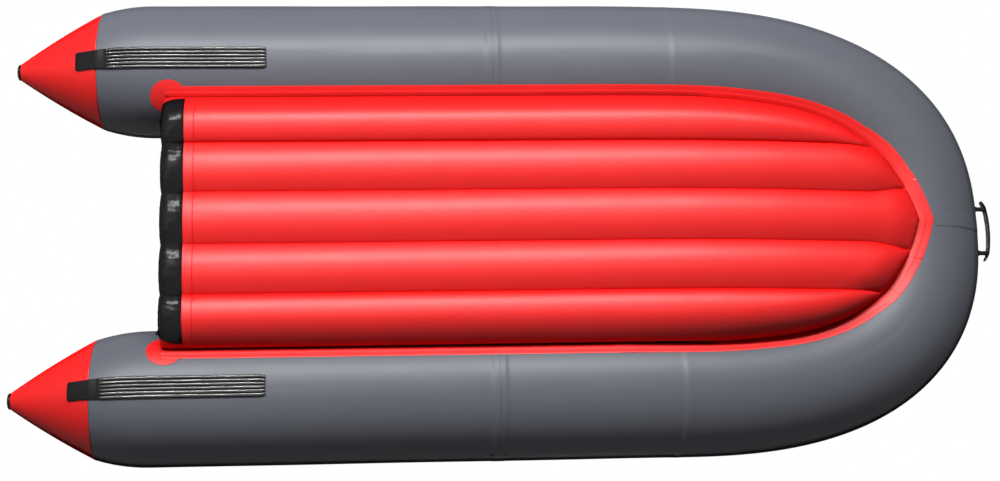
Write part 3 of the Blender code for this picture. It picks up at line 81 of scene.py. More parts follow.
# The hull's own datum: x from the cone's root, z from the tube's axis
TUBE_RADIUS = (AFT_HIGH[2] - AFT_LOW[2]) / 2
HALF_SPACING = (AFT_HIGH[1] + AFT_LOW[1]) / 2
ORIGIN = np.array([AFT_LOW[0], 0.0, (AFT_HIGH[2] + AFT_LOW[2]) / 2])
BULKHEAD_X = (AFT_HIGH[0] + BOW_LOW[0]) / 2 - ORIGIN[0]
BOW_AXIS_X = BOW_HIGH[0] - TUBE_RADIUS - ORIGIN[0]
BOW_RISE = BOW_HIGH[2] - AFT_HIGH[2]
CONE_ROOT_RADIUS = (CONE_HIGH[2] - CONE_LOW[2]) / 2
CONE_TIP_X = CONE_LOW[0] - ORIGIN[0]
CAP_TIP_X = CAP_LOW[0] - ORIGIN[0]
CAP_RADIUS = (CAP_HIGH[2] - CAP_LOW[2]) / 2
FLOOR_START_X = BOTTOM_LOW[0] - ORIGIN[0]
PATCH_RADIUS = (PATCH_HIGH[0] - PATCH_LOW[0]) / 2
PATCH_X = (PATCH_HIGH[0] + PATCH_LOW[0]) / 2 - ORIGIN[0]
SIDES = {"port": 1, "starboard": -1}

# Clearances between pieces that touch
SKIN_GAP = 0.0003
SEAT_GAP = 0.0006
WEB_GAP = 0.0035

# Seams and laps in the coated fabric
LAP_HEIGHT = 0.0009
LAP_EDGE = 0.0012
TUBE_LAP_ANGLE = -69.0
TUBE_LAP_WIDTH = 0.035
JOINT_LAP_WIDTH = 0.030
RING_TAPE_WIDTH = 0.044
CONE_LAP_ANGLE = -96.0
TURNED_IN = 0.0022
TAPE_JOINTS_FROM_BOW = (0.155, 0.33, 1.42)
BAND_JOINT_AFTER_SEAM = 0.043
WELD_DEPTH = 0.0012
CHAMBER_POWER = 2.1

# Transom board: its lean, and its thickness and aft face across the lean
TRANSOM_LEAN = math.radians(5.0)
TRANSOM_THICKNESS = 0.030
TRANSOM_AFT_FACE = -1.127

# Thickness of the cloth
SHEET_THICKNESS = 0.0011
WEB_THICKNESS = 0.0010
CORNER_THICKNESS = 0.0008
BAFFLE_THICKNESS = 0.0008

# Fine mesh
TUBE_STEP = 0.012
TUBE_COLUMNS = 132
MERGE_DISTANCE = 0.000002
LEAST_EDGE = 0.000001

# Uneven waves
WAVE_COUNT = 6
WAVE_SPREAD = (0.6, 1.7)


def smooth_step(value):
    """0 below 0, 1 above 1, and 3t^2 - 2t^3 between."""
    value = np.clip(value, 0.0, 1.0)
    return value * value * (3 - 2 * value)


def bell(distance, width):
    """1 at the middle, falling off as a bell curve of this width."""
    return np.exp(-(distance / width) ** 2)


def spaced(low, high, step, marks=()):
    """Even steps from low to high, with the marked places added."""
    count = max(int(math.ceil((high - low) / step)), 1)
    values = np.linspace(low, high, count + 1)
    marks = np.array([m for m in marks if low < m < high])
    if len(marks):
        near = np.abs(values[:, None] - marks[None]).min(1) < step * 0.25
        near[[0, -1]] = False
        values = np.sort(np.concatenate([values[~near], marks]))
    return values


def ripple(a, b, seed, size):
    """Uneven waves: the mean of six sines of two places, with directions and
    phases drawn by the seed and lengths near the size."""
    dice = np.random.default_rng(seed)
    total = 0.0
    for _ in range(WAVE_COUNT):
        turn, phase = dice.uniform(0, math.tau, 2)
        pitch = size * dice.uniform(*WAVE_SPREAD)
        across = a * math.cos(turn) + b * math.sin(turn)
        total = total + np.sin(across * math.tau / pitch + phase)
    return total / WAVE_COUNT


class Hull:
    """The boat's lines, worked out from its sizes. Lengths are in metres and
    angles in degrees round a tube, from its bottom towards the cockpit."""

    def __init__(self, sizes):
        self.sizes = sizes
        reach = BOW_AXIS_X - sizes.straight_length
        turn = np.linspace(0.0, math.pi / 2, 4001)
        power = 2 / sizes.bow_squareness
        x = sizes.straight_length + reach * np.sin(turn) ** power
        y = HALF_SPACING * np.cos(turn) ** power
        y[-1] = 0.0
        self.x = np.concatenate([[0.0], x])
        self.y = np.concatenate([[HALF_SPACING], y])
        steps = np.hypot(np.diff(self.x), np.diff(self.y))
        self.length = np.concatenate([[0.0], np.cumsum(steps)])
        self.end = self.length[-1]
        self.sheer_start = sizes.straight_length - sizes.sheer_lead
        self.rise_start = sizes.straight_length - sizes.floor_rise_lead
        self.valley_depth = TUBE_RADIUS + sizes.valley_below_tube
        self.valley_inner = sizes.centre_chamber / 2
        self.valley_outer = self.valley_inner + sizes.next_chamber
        self.floor_aft = FLOOR_START_X - sizes.sheet_set_in
        stations = np.linspace(0.0, self.end, 160)
        self.floor_edge = self.edge_line(stations)
        self.deck_edge = self.deck_line(stations)

    def sheer(self, station):
        """Height of the centre line: a squared sine from the sheer's start."""
        share = np.clip((station - self.sheer_start) / (self.end - self.sheer_start), 0.0, 1.0)
        return BOW_RISE * np.sin(math.pi / 2 * share) ** 2

    def tube_radius(self, station):
        """Full radius, drawn in by a parabola over the shoulder at the cone."""
        short = np.clip(1 - station / self.sizes.shoulder_length, 0.0, 1.0)
        return TUBE_RADIUS - (TUBE_RADIUS - CONE_ROOT_RADIUS) * short ** 2

    def frame_at(self, station):
        """Centre, outward and upward directions of the port tube."""
        step = 0.004
        before = np.maximum(station - step, 0.0)
        after = np.minimum(station + step, self.end)
        dx = np.interp(after, self.length, self.x) - np.interp(before, self.length, self.x)
        dy = np.interp(after, self.length, self.y) - np.interp(before, self.length, self.y)
        last = station > self.end - step
        dx, dy = np.where(last, 0.0, dx), np.where(last, -step, dy)
        dz = self.sheer(after) - self.sheer(before)
        along = np.stack([dx, dy, dz], -1)
        along /= np.linalg.norm(along, axis=-1, keepdims=True)
        outward = np.stack([-dy, dx, 0 * dx], -1)
        outward /= np.linalg.norm(outward, axis=-1, keepdims=True)
        upward = np.cross(along, outward)
        centre = np.stack([np.interp(station, self.length, self.x),
                           np.interp(station, self.length, self.y),
                           self.sheer(station)], -1)
        return centre, outward, upward

    def on_tube(self, station, angle, radius, side=1):
        """Centre less the sine outward and the cosine upward, times the radius."""
        station, angle = np.broadcast_arrays(np.asarray(station, float), np.asarray(angle, float))
        radius = radius + 0 * station
        centre, outward, upward = self.frame_at(station)
        turn = np.radians(angle)
        points = (centre - outward * (radius * np.sin(turn))[..., None]
                  - upward * (radius * np.cos(turn))[..., None])
        points[..., 1] = side * np.maximum(points[..., 1], SKIN_GAP / 2)
        return points

    def tape_angles(self, station):
        """Outer and inner edge of the gluing tape: a broken line falling from
        the stern's angle to the bow's, and a width that grows in the curve."""
        sizes = self.sizes
        swing = sizes.tape_angle - sizes.tape_bow_angle
        marks = np.array([0.0, 0.70, 0.85, 0.93, 1.0]) * self.end
        drops = np.array([0.0, 0.03, 0.20, 0.52, 1.0]) * swing
        outer = sizes.tape_angle - np.interp(station, marks, drops)
        share = np.clip((station - sizes.straight_length) / (self.end - sizes.straight_length),
                        0.0, 1.0)
        width = sizes.tape_width + (sizes.tape_bow_width - sizes.tape_width) * share
        return outer, outer + np.degrees(width / TUBE_RADIUS)

    def valley_height(self, x):
        """Creases' height: level, then rising by a square towards the bow."""
        inner = self.tape_angles(self.end)[1]
        front = BOW_AXIS_X - TUBE_RADIUS * math.sin(math.radians(inner))
        share = np.clip((x - self.rise_start) / (front - self.rise_start), 0.0, 1.0)
        return -self.valley_depth + self.sizes.floor_rise * share ** 2

    def edge_line(self, stations):
        """Where the bottom sheet meets the tube, just over the tape's edge."""
        overlap = np.degrees(self.sizes.floor_tape_lap / TUBE_RADIUS)
        inner = self.tape_angles(stations)[1] - overlap
        points = self.on_tube(stations, inner, TUBE_RADIUS + self.sizes.bottom_edge_room)
        points[-1, 1] = 0.0
        return points

    def deck_line(self, stations):
        """Where the deck sheet meets the tube, at the height of its creases."""
        radius = TUBE_RADIUS - self.sizes.deck_edge_press
        centre = self.frame_at(stations)[0]
        points = self.on_tube(stations, 45.0, radius)
        for _ in range(8):
            target = self.deck_valley(points[:, 0])
            drop = np.clip((centre[:, 2] - target) / radius, 0.05, 0.999)
            points = self.on_tube(stations, np.degrees(np.arccos(drop)), radius)
        points[-1, 1] = 0.0
        return points

    def deck_valley(self, x):
        """The deck's creases: the bottom's, raised by the floor's thickness."""
        return self.valley_height(x) + self.sizes.floor_thickness

    def crease_flare(self, x):
        """How far the inner creases spread just before the bow."""
        start = self.floor_edge[-1, 0] - self.sizes.crease_flare_length
        share = (x - start) / self.sizes.crease_flare_length
        return 1 + self.sizes.crease_flare * smooth_step(share)

    def chamber_share(self, x, y):
        """Place across a chamber: -1 and 1 in its creases, 0 on its crest."""
        flare = self.crease_flare(x)
        reach = np.abs(y)
        inner, outer = self.valley_inner * flare, self.valley_outer + 0 * x
        side_edge = self.floor_edge[0, 1] + 0 * x
        low = np.where(reach < inner, -inner, np.where(reach < outer, inner, outer))
        high = np.where(reach < inner, inner, np.where(reach < outer, outer, side_edge))
        return np.clip(2 * (reach - low) / (high - low) - 1, -1.0, 1.0)

    def chamber_bulge(self, x, y):
        """1 on a chamber's crest, falling by a power to 0 in its creases. The
        outer chambers' crests lie nearer their inner crease."""
        crest = self.sizes.crest_share
        across = self.chamber_share(x, y)
        skewed = 2 * ((across + 1) / 2) ** self.sizes.outer_skew - 1
        across = np.where(np.abs(y) > self.valley_outer, skewed, across)
        flank = np.clip((np.abs(across) - crest) / (1 - crest), 0.0, 1.0)
        return 1 - flank ** CHAMBER_POWER

    def aft_depth(self, x):
        """The chambers' depth grows from a share at the aft end to all of it."""
        along = smooth_step((x - self.floor_aft) / self.sizes.aft_taper_length)
        return self.sizes.aft_depth_share + (1 - self.sizes.aft_depth_share) * along

    def edge_roll(self, x, y, edge, width):
        """Share of the way in from the nearest stretch of an edge, rounded as
        a quarter circle, the edge's height there and the distance to it."""
        reach = np.abs(y)
        nearest = np.full(np.shape(x), np.inf)
        height = np.zeros(np.shape(x))
        for start, end in zip(edge[:-1], edge[1:]):
            run = end - start
            along = ((x - start[0]) * run[0] + (reach - start[1]) * run[1])
            along = np.clip(along / max(run[0] ** 2 + run[1] ** 2, 1e-12), 0.0, 1.0)
            gap = np.hypot(x - start[0] - along * run[0], reach - start[1] - along * run[1])
            height = np.where(gap < nearest, start[2] + along * run[2], height)
            nearest = np.minimum(gap, nearest)
        inside = reach < np.interp(x, edge[:, 0], edge[:, 1], right=0.0)
        share = np.where(inside, np.clip(nearest / width, 0.0, 1.0), 0.0)
        return np.sqrt(1 - (1 - share) ** 2), height, nearest

    def bottom_height(self, x, y):
        """Outer face of the bottom sheet: creases less the chambers' depth,
        rolled up to its glued edge."""
        x, y = np.broadcast_arrays(np.asarray(x, float), np.asarray(y, float))
        lobe = self.sizes.lobe_depth * self.chamber_bulge(x, y) * self.aft_depth(x)
        share, edge_z = self.edge_roll(x, y, self.floor_edge, self.sizes.roll_width)[:2]
        return edge_z * (1 - share) + (self.valley_height(x) - lobe) * share

    def deck_height(self, x, y):
        """Upper face of the deck sheet: the same chambers, less deep."""
        x, y = np.broadcast_arrays(np.asarray(x, float), np.asarray(y, float))
        lobe = self.sizes.deck_lobe * self.chamber_bulge(x, y) * self.aft_depth(x)
        share, edge_z = self.edge_roll(x, y, self.deck_edge, self.sizes.deck_roll_width)[:2]
        return edge_z * (1 - share) + (self.deck_valley(x) + lobe) * share


# Meshes
def surface(name, grids):
    """A mesh over grids of points. Each face joins four neighbours. A grid is
    a dict with points, and if it has them flat (places on the unrolled cloth,
    in metres), columns_closed, which joins its last column to its first, and
    flip, which turns its faces round."""
    places, corners, unrolled, first = [], [], [], 0
    for grid in grids:
        points = grid["points"]
        rows, columns = points.shape[:2]
        index = first + np.arange(rows * columns).reshape(rows, columns)
        flat = grid.get("flat")
        if flat is None:
            flat = np.zeros((rows + 1, columns + 1, 2))
        if grid.get("columns_closed"):
            index = np.hstack([index, index[:, :1]])
        flat = flat[:index.shape[0], :index.shape[1]]
        order = [(0, 0), (1, 0), (1, 1), (0, 1)]
        if grid.get("flip"):
            order = order[::-1]
        height, width = index.shape[0] - 1, index.shape[1] - 1
        corners.append(np.stack([index[r:r + height, c:c + width] for r, c in order], -1)
                       .reshape(-1, 4))
        unrolled.append(np.stack([flat[r:r + height, c:c + width] for r, c in order], -2)
                        .reshape(-1, 2))
        places.append(points.reshape(-1, 3))
        first += rows * columns
    places, corners = np.concatenate(places) + ORIGIN, np.concatenate(corners)
    mesh = bpy.data.meshes.new(name)
    mesh.vertices.add(len(places))
    mesh.vertices.foreach_set("co", places.astype(np.float32).ravel())
    mesh.loops.add(corners.size)
    mesh.loops.foreach_set("vertex_index", corners.astype(np.int32).ravel())
    mesh.polygons.add(len(corners))
    mesh.polygons.foreach_set("loop_start", np.arange(0, corners.size, 4, dtype=np.int32))
    mesh.update(calc_edges=True)
    layer = mesh.uv_layers.new(name="flat")
    layer.data.foreach_set("uv", np.concatenate(unrolled).astype(np.float32).ravel())
    work = bmesh.new()
    work.from_mesh(mesh)
    bmesh.ops.remove_doubles(work, verts=work.verts, dist=MERGE_DISTANCE)
    bmesh.ops.dissolve_degenerate(work, edges=work.edges, dist=LEAST_EDGE)
    work.to_mesh(mesh)
    work.free()
    return bpy.data.objects.new(name, mesh)


def closed_ends(points):
    """Rings of points with a pole in the middle of each end."""
    first = np.repeat(points[:1].mean(1, keepdims=True), points.shape[1], 1)
    last = np.repeat(points[-1:].mean(1, keepdims=True), points.shape[1], 1)
    return np.concatenate([first, points, last])


def closed_skin(points, flat=None, flip=False):
    """The grid of a skin closed round its columns and at both its ends, with
    its unrolled places, the first and last row of them given again."""
    grid = {"points": closed_ends(points), "columns_closed": True, "flip": flip}
    if flat is not None:
        grid["flat"] = np.concatenate([flat[:1], flat, flat[-1:]])
    return grid


def both_faces(flat):
    """Unrolled places of a flat tube: its upper face, the lower face back and
    the first column again."""
    return np.concatenate([flat, flat[:, ::-1], flat[:, :1]], 1)


def rounded_line(points, share, turns=2):
    """Corner cutting: each corner is cut at a share of its two sides, in turns."""
    for _ in range(turns):
        low = points[:-1] * (1 - share) + points[1:] * share
        high = points[:-1] * share + points[1:] * (1 - share)
        cut = np.stack([low, high], 1).reshape(-1, *points.shape[1:])
        points = np.concatenate([points[:1], cut[1:-1], points[-1:]])
    return points


def thicken(obj, thickness, offset=-1.0):
    """Gives a sheet its thickness, inwards from its faces by default."""
    wall = obj.modifiers.new("thickness", "SOLIDIFY")
    wall.thickness = thickness
    wall.offset = offset
    wall.use_even_offset = False
    return obj


def place(obj, finish, stands_for=(), sharp=35.0):
    """Files a piece: its finish, shading and body, and the nodes it stands for, which are hidden.
    """
    bpy.context.scene.collection.objects.link(obj)
    obj.data.materials.append(finish)
    obj.data.shade_smooth()
    obj.data.set_sharp_from_angle(angle=math.radians(sharp))
    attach(obj, "hull")
    if stands_for:
        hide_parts(*stands_for)
    return obj


def dress(nodes, finish):
    """Gives fixed nodes their finish."""
    for node in nodes:
        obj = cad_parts[node]
        for slot in obj.material_slots:
            slot.material = finish


def nodes_like(*starts):
    """Names of the fixed nodes that begin in one of these ways, in order."""
    return [n for n in sorted(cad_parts) if n.startswith(starts)]


# Materials
WEAVE = {"Scale": 260.0, "Distortion": 0.6, "Detail": 1.0}
LONG_GRAIN = (26.0, 1.6, 26.0)
GROWTH_RINGS = (14.0, 0.7, 14.0)
PORES = (420.0, 9.0, 420.0)
PLY_COUNT = 9.0
RUBBED_COLOUR = (0.06, 0.058, 0.056, 1.0)
SHARP_STEP = 0.001


class Tree:
    """Short words for a node tree. A socket is given a number, a colour or a
    vector, or else another node's output, which is linked to it."""

    def __init__(self, node_tree):
        self.nodes, self.links = node_tree.nodes, node_tree.links
        self.shader = self.nodes.get("Principled BSDF")

    def put(self, target, value):
        """Links a socket to another, sets it to a value, or leaves it for None."""
        if isinstance(value, bpy.types.NodeSocket):
            self.links.new(value, target)
        elif value is not None:
            target.default_value = value

    def coat(self, socket, value):
        """Gives one of the Principled shader's sockets its value."""
        self.put(self.shader.inputs[socket], value)

    def node(self, kind, inputs=None, output=0, **settings):
        """A new node with its settings and inputs: gives one of its outputs."""
        made = self.nodes.new(kind)
        for key, value in settings.items():
            setattr(made, key, value)
        for key, value in (inputs or {}).items():
            self.put(made.inputs[key], value)
        return made.outputs[output]

    def math(self, operation, a, b=None, c=None):
        """One sum on up to three numbers."""
        return self.node("ShaderNodeMath", {0: a, 1: b, 2: c}, operation=operation)

    def mix(self, factor, a, b):
        """A colour between two others."""
        return self.node("ShaderNodeMix", {"Factor": factor, "A": a, "B": b}, "Result",
                         data_type="RGBA")

    def spread(self, value, low, high, to_low=0.0, to_high=1.0, **settings):
        """Maps a value from one range to another, clamped."""
        return self.node("ShaderNodeMapRange", {"Value": value, "From Min": low, "From Max": high,
                                                "To Min": to_low, "To Max": to_high}, **settings)

    def stretched(self, vector, scale=(1, 1, 1), turn=(0, 0, 0), **settings):
        """Places scaled and turned about the origin."""
        return self.node("ShaderNodeMapping", {"Vector": vector, "Scale": scale,
                                               "Rotation": turn}, **settings)

    def coordinates(self, kind="Object", scale=(1, 1, 1), turn=(0, 0, 0)):
        """Places on the object or on its unrolled cloth."""
        return self.stretched(self.node("ShaderNodeTexCoord", output=kind), scale, turn)

    def parts(self, vector):
        """The three numbers of a vector."""
        made = self.nodes.new("ShaderNodeSeparateXYZ")
        self.put(made.inputs[0], vector)
        return made.outputs

    def noise(self, vector, scale, detail=3.0, roughness=0.5, distortion=0.0):
        """Clouds from 0 to 1, by their scale, detail, roughness and distortion."""
        return self.node("ShaderNodeTexNoise", {"Vector": vector, "Scale": scale,
                                                "Detail": detail, "Roughness": roughness,
                                                "Distortion": distortion})

    def facing(self):
        """0 where the surface is seen squarely, 1 where it is seen edge on."""
        return self.node("ShaderNodeLayerWeight", {"Blend": 0.5}, output=1)

    def bump(self, height, strength, distance, normal=None):
        """The normal over a height, laid on another normal where one is given."""
        return self.node("ShaderNodeBump", {"Strength": strength, "Distance": distance,
                                            "Height": height, "Normal": normal})


def recipe(fill):
    """Turns a function that fills in a finish's node tree into one that is
    asked for the finish by name, and makes each name's material only once."""
    def finish(name, *args, **settings):
        material = bpy.data.materials.get("finish_" + name)
        if material is None:
            material = bpy.data.materials.new("finish_" + name)
            material.use_nodes = True
            fill(Tree(material.node_tree), *args, **settings)
        return material
    return finish


def matt_edge(tree, specular, share=1.0):
    """Specular level of a matt coating, whose gloss fades at glancing angles by
    a power of how squarely it is seen, and by a share where one is given."""
    gone_at, power, gain = 0.74, 1.6, 1.1
    square = tree.math("POWER", tree.spread(tree.facing(), 0.0, gone_at, 1.0, 0.0), power)
    level = tree.math("MULTIPLY", square, specular * gain)
    tree.coat("Specular IOR Level", tree.math("MULTIPLY", level, share))


def tint(colour, factor):
    """A colour darker or lighter by a factor, with its alpha."""
    return tuple(min(c * factor, 1.0) for c in colour[:3]) + (1.0,)


@recipe
def coated_fabric(tree, colour, roughness=0.44, specular=0.36):
    """Coated cloth: a smooth skin over a basket weave that barely shows, with
    faint clouding, fine scuffs and dust."""
    place_on = tree.coordinates("Object")
    cloth = tree.coordinates("UV")
    clouds = tree.noise(place_on, 4.5, 4.0, 0.6)
    fine = tree.noise(place_on, 160.0, 3.0, 0.6)
    scuffs = tree.noise(tree.coordinates("Object", (3.0, 22.0, 22.0)), 5.0, 6.0, 0.75, 0.6)
    scuff = tree.spread(scuffs, 0.63, 0.78)
    base = tree.mix(clouds, tint(colour, 0.93), tint(colour, 1.06))
    tree.coat("Base Color", tree.mix(tree.math("MULTIPLY", scuff, 0.10), base, tint(colour, 1.8)))
    gloss = tree.math("MULTIPLY_ADD", clouds, 0.10, roughness - 0.06)
    tree.coat("Roughness", tree.math("ADD", gloss, tree.math("MULTIPLY", scuff, 0.08)))
    matt_edge(tree, specular)
    warp, weft = (tree.node("ShaderNodeTexWave", {"Vector": cloth, **WEAVE}, output=1,
                            bands_direction=way) for way in "XY")
    height = tree.math("MULTIPLY_ADD", fine, 0.5, tree.math("MULTIPLY", warp, weft))
    tree.coat("Normal", tree.bump(clouds, 0.25, 0.004, tree.bump(height, 0.10, 0.0002)))


@recipe
def rubber(tree, colour, roughness=0.30, specular=0.20, grain=420.0, matt_before=None):
    """Moulded rubber: near black, with fine grain, bloom and rubbed spots. Aft
    of a place along the boat, if one is given, it is left matt, and forward
    of it only the crests of its ribs are polished, one rib to each unit of
    its cloth coordinates."""
    place_on = tree.coordinates("Object")
    bloom = tree.noise(place_on, 9.0, 5.0, 0.65)
    fine = tree.noise(place_on, grain, 2.0, 0.6)
    rubbed = tree.spread(tree.noise(place_on, 38.0, 5.0, 0.7), 0.60, 0.75)
    base = tree.mix(bloom, tint(colour, 0.8), tint(colour, 1.35))
    tree.coat("Base Color", tree.mix(tree.math("MULTIPLY", rubbed, 0.12), base, RUBBED_COLOUR))
    gloss = tree.math("MULTIPLY_ADD", bloom, 0.16, roughness - 0.08)
    glossy, grip = 1.0, 0.18
    if matt_before is not None:
        grip, matt_share, valley_share = 0.05, 0.15, 0.04
        along = tree.parts(place_on)[0]
        step = (matt_before - SHARP_STEP, matt_before)
        glossy = tree.spread(along, *step, matt_share, 1.0)
        gloss = tree.math("ADD", gloss, tree.math("MULTIPLY_ADD", glossy, -0.25, 0.25))
        rib = tree.math("FRACT", tree.parts(tree.coordinates("UV"))[1])
        off_crest = tree.math("ABSOLUTE", tree.math("SUBTRACT", rib, 0.5))
        crest = tree.spread(off_crest, 0.20, 0.32, 1.0, valley_share)
        plain = tree.spread(along, *step, 1.0, 0.0)
        glossy = tree.math("MULTIPLY", glossy, tree.math("MAXIMUM", crest, plain))
    tree.coat("Roughness", gloss)
    matt_edge(tree, specular, glossy)
    tree.coat("Normal", tree.bump(fine, grip, 0.0004))


@recipe
def plastic(tree, colour, roughness=0.42, specular=0.42):
    """Moulded plastic: a spark-eroded grain and a little wear."""
    place_on = tree.coordinates("Object")
    cells = tree.node("ShaderNodeTexVoronoi", {"Vector": place_on, "Scale": 900.0})
    clouds = tree.noise(place_on, 30.0, 4.0, 0.6)
    tree.coat("Base Color", tree.mix(clouds, tint(colour, 0.85), tint(colour, 1.2)))
    tree.coat("Roughness", tree.math("MULTIPLY_ADD", clouds, 0.12, roughness - 0.06))
    matt_edge(tree, specular)
    tree.coat("Normal", tree.bump(cells, 0.12, 0.0002))


@recipe
def plywood(tree, colour, grain_turn, edge_axis, thickness, place_low, specular=0.42):
    """Varnished plywood: long grain on its faces, and on its edges the plies,
    dark and light in turn through the thickness. The grain's turn lines its
    edge axis up with the thickness, which starts at place_low."""
    place_on = tree.coordinates("Object", turn=grain_turn)
    grain = tree.noise(tree.stretched(place_on, LONG_GRAIN), 3.0, 8.0, 0.62, 0.8)
    rings = tree.node("ShaderNodeTexWave", {
        "Vector": tree.stretched(place_on, GROWTH_RINGS), "Scale": 1.3, "Distortion": 9.0,
        "Detail": 3.0, "Detail Scale": 0.8}, output=1)
    pores = tree.spread(tree.noise(tree.stretched(place_on, PORES), 1.0, 2.0), 0.62, 0.72)
    face = tree.mix(rings, tint(colour, 0.72), tint(colour, 1.18))
    face = tree.mix(tree.math("MULTIPLY", grain, 0.6), face, tint(colour, 0.55))
    face = tree.mix(tree.math("MULTIPLY", pores, 0.5), face, tint(colour, 0.3))
    through = tree.math("SUBTRACT", tree.parts(place_on)[edge_axis], place_low)
    layer = tree.math("MULTIPLY", through, PLY_COUNT / thickness)
    glue = tree.spread(tree.math("PINGPONG", layer, 1.0), 0.06, 0.12, 0.35, 1.0)
    odd_ply = tree.math("GREATER_THAN", tree.math("MODULO", layer, 2.0), 1.0)
    end_grain = tree.mix(odd_ply, tint(colour, 0.62), tint(colour, 1.25))
    end_grain = tree.mix(glue, tint(colour, 0.25), end_grain)
    normal = tree.stretched(tree.node("ShaderNodeTexCoord", output="Normal"), turn=grain_turn,
                            vector_type="NORMAL")
    square_on = tree.math("ABSOLUTE", tree.parts(normal)[edge_axis])
    tree.coat("Base Color", tree.mix(tree.math("GREATER_THAN", square_on, 0.75), end_grain, face))
    tree.coat("Roughness", tree.math("MULTIPLY_ADD", grain, 0.18, 0.26))
    matt_edge(tree, specular)
    tree.coat("Coat Weight", tree.spread(tree.facing(), 0.35, 0.80, 0.30, 0.0))
    tree.coat("Coat Roughness", 0.18)
    tree.coat("Normal", tree.bump(tree.math("ADD", grain, pores), 0.12, 0.0006))


@recipe
def bright_metal(tree, colour, roughness=0.24):
    """Polished steel: faint drawing lines and handling marks."""
    marks = tree.noise(tree.coordinates("Object"), 60.0, 6.0, 0.7)
    lines = tree.noise(tree.coordinates("Object", (60.0, 60.0, 1400.0)), 1.0, 2.0)
    tree.coat("Base Color", tree.mix(marks, tint(colour, 0.9), colour))
    tree.coat("Metallic", 1.0)
    tree.coat("Roughness", tree.math("MULTIPLY_ADD", marks, 0.16, roughness - 0.08))
    tree.coat("Normal", tree.bump(lines, 0.05, 0.0002))


def grey(context):
    """The tubes' fabric."""
    return coated_fabric("grey_fabric", context.scene.boat_colours.grey)


def red(context):
    """The cones' and bottom's fabric, a little glossier."""
    return coated_fabric("red_fabric", context.scene.boat_colours.red, 0.47, 0.50)


def black(context):
    """Moulded rubber."""
    return rubber("black_rubber", context.scene.boat_colours.black)


def black_moulding(context):
    """Black plastic."""
    return plastic("black_plastic", context.scene.boat_colours.black_plastic)


# Tubes and cones
def lap(distance, width):
    """A glued lap: up to its full height within its edge, and from half its
    width on easing away."""
    rise = smooth_step(distance / LAP_EDGE)
    fall = 1 - smooth_step((distance - width * 0.5) / (width * 0.5))
    return LAP_HEIGHT * rise * fall


def tube_relief(hull, station, angle, side):
    """Height off the tube: the lengthwise lap, the tape over the joint of the
    chambers, the lap where the curve starts, small puckers that fade from the
    cone, slow waves, and gathers on the inside of the bend."""
    pucker_height, pucker_reach = 0.0012, 0.045
    wave_height, gather_height, bend_length = 0.0012, 0.0010, 0.2
    curve_at = hull.sizes.straight_length
    arc = np.radians(angle) * TUBE_RADIUS
    seam = (np.radians(angle - TUBE_LAP_ANGLE - 360.0)) * TUBE_RADIUS
    relief = lap(seam, TUBE_LAP_WIDTH)
    middle = RING_TAPE_WIDTH / 2
    ring = smooth_step((middle - np.abs(station - BULKHEAD_X)) / LAP_EDGE)
    joint = lap(station - curve_at, JOINT_LAP_WIDTH)
    puckers = np.exp(-station / pucker_reach) * (ripple(arc, station, 5, 0.035) - 0.4)
    uneven = ripple(station, arc, 11 + side, 0.55) * wave_height
    inside = np.clip(-np.cos(np.radians(angle + 90.0)), 0.0, 1.0)
    bend = smooth_step((station - curve_at) / bend_length)
    gathers = bend * inside ** 3 * ripple(station, arc * 0.05, 23, 0.05) * gather_height
    return (relief + LAP_HEIGHT * 0.8 * ring + joint * 0.7 + puckers * pucker_height
            + uneven + gathers)


def tube(hull, name, side, first, last, finish):
    """One air chamber: rings on the centre line, each point at the tube's
    radius and relief, with the ends closed to a pole."""
    end_round = 0.0016
    marks = [BULKHEAD_X - RING_TAPE_WIDTH / 2 + d for d in (0.0, LAP_EDGE)]
    marks += [BULKHEAD_X + RING_TAPE_WIDTH / 2 - d for d in (0.0, LAP_EDGE)]
    marks += [hull.sizes.straight_length + d for d in (0.0, LAP_EDGE)]
    marks += [end_round, 0.004, 0.010, 0.018]
    stations = spaced(first, last, TUBE_STEP, marks)
    edge = np.degrees(LAP_EDGE / TUBE_RADIUS)
    seam = 360.0 + TUBE_LAP_ANGLE
    angles = spaced(0.0, 360.0, 360.0 / TUBE_COLUMNS, (seam, seam + edge / 2, seam + edge))
    s, a = np.meshgrid(stations, angles, indexing="ij")
    relief = tube_relief(hull, s, a, side)
    fade = smooth_step((hull.end - s) / 0.01) if last == hull.end else 1.0
    turned_in = TURNED_IN * (1 - smooth_step(s / end_round))
    points = hull.on_tube(s, a, hull.tube_radius(s) + relief * fade - turned_in, side)
    flat = np.stack([s, np.radians(a) * TUBE_RADIUS], -1)
    grid = closed_skin(points[:, :-1], flat, side < 0)
    return place(surface(f"{name}_skin", [grid]), finish, [name])


def turned_grid(side, x, radius, columns, lap_at=None, puckers=0.0):
    """A profile turned about one tube's axis: the radius at each x, and where
    a lap is asked for, its height and puckers that fade from the root."""
    angles = spaced(0.0, 360.0, 360.0 / columns)[:-1]
    if lap_at is not None:
        step = np.degrees(LAP_EDGE / CONE_ROOT_RADIUS)
        angles = np.sort(np.append(angles, [lap_at % 360, lap_at % 360 + step]))
    along, turn = np.meshgrid(x, np.radians(angles), indexing="ij")
    out = np.repeat(radius[:, None], len(angles), 1)
    if lap_at is not None:
        seam = (turn - math.radians(lap_at % 360)) * CONE_ROOT_RADIUS
        out = out + lap(seam, JOINT_LAP_WIDTH) * np.clip(out / CONE_ROOT_RADIUS, 0, 1)
        near = np.exp(-(along.max() - along) / 0.05)
        out = out + puckers * near * ripple(turn * CONE_ROOT_RADIUS, along, 31, 0.04)
    points = np.stack([along, side * (HALF_SPACING - out * np.sin(turn)), -out * np.cos(turn)],
                      -1)
    flat = np.stack([along, turn * CONE_ROOT_RADIUS], -1)
    return points, np.concatenate([flat, flat[:, :1]], 1)


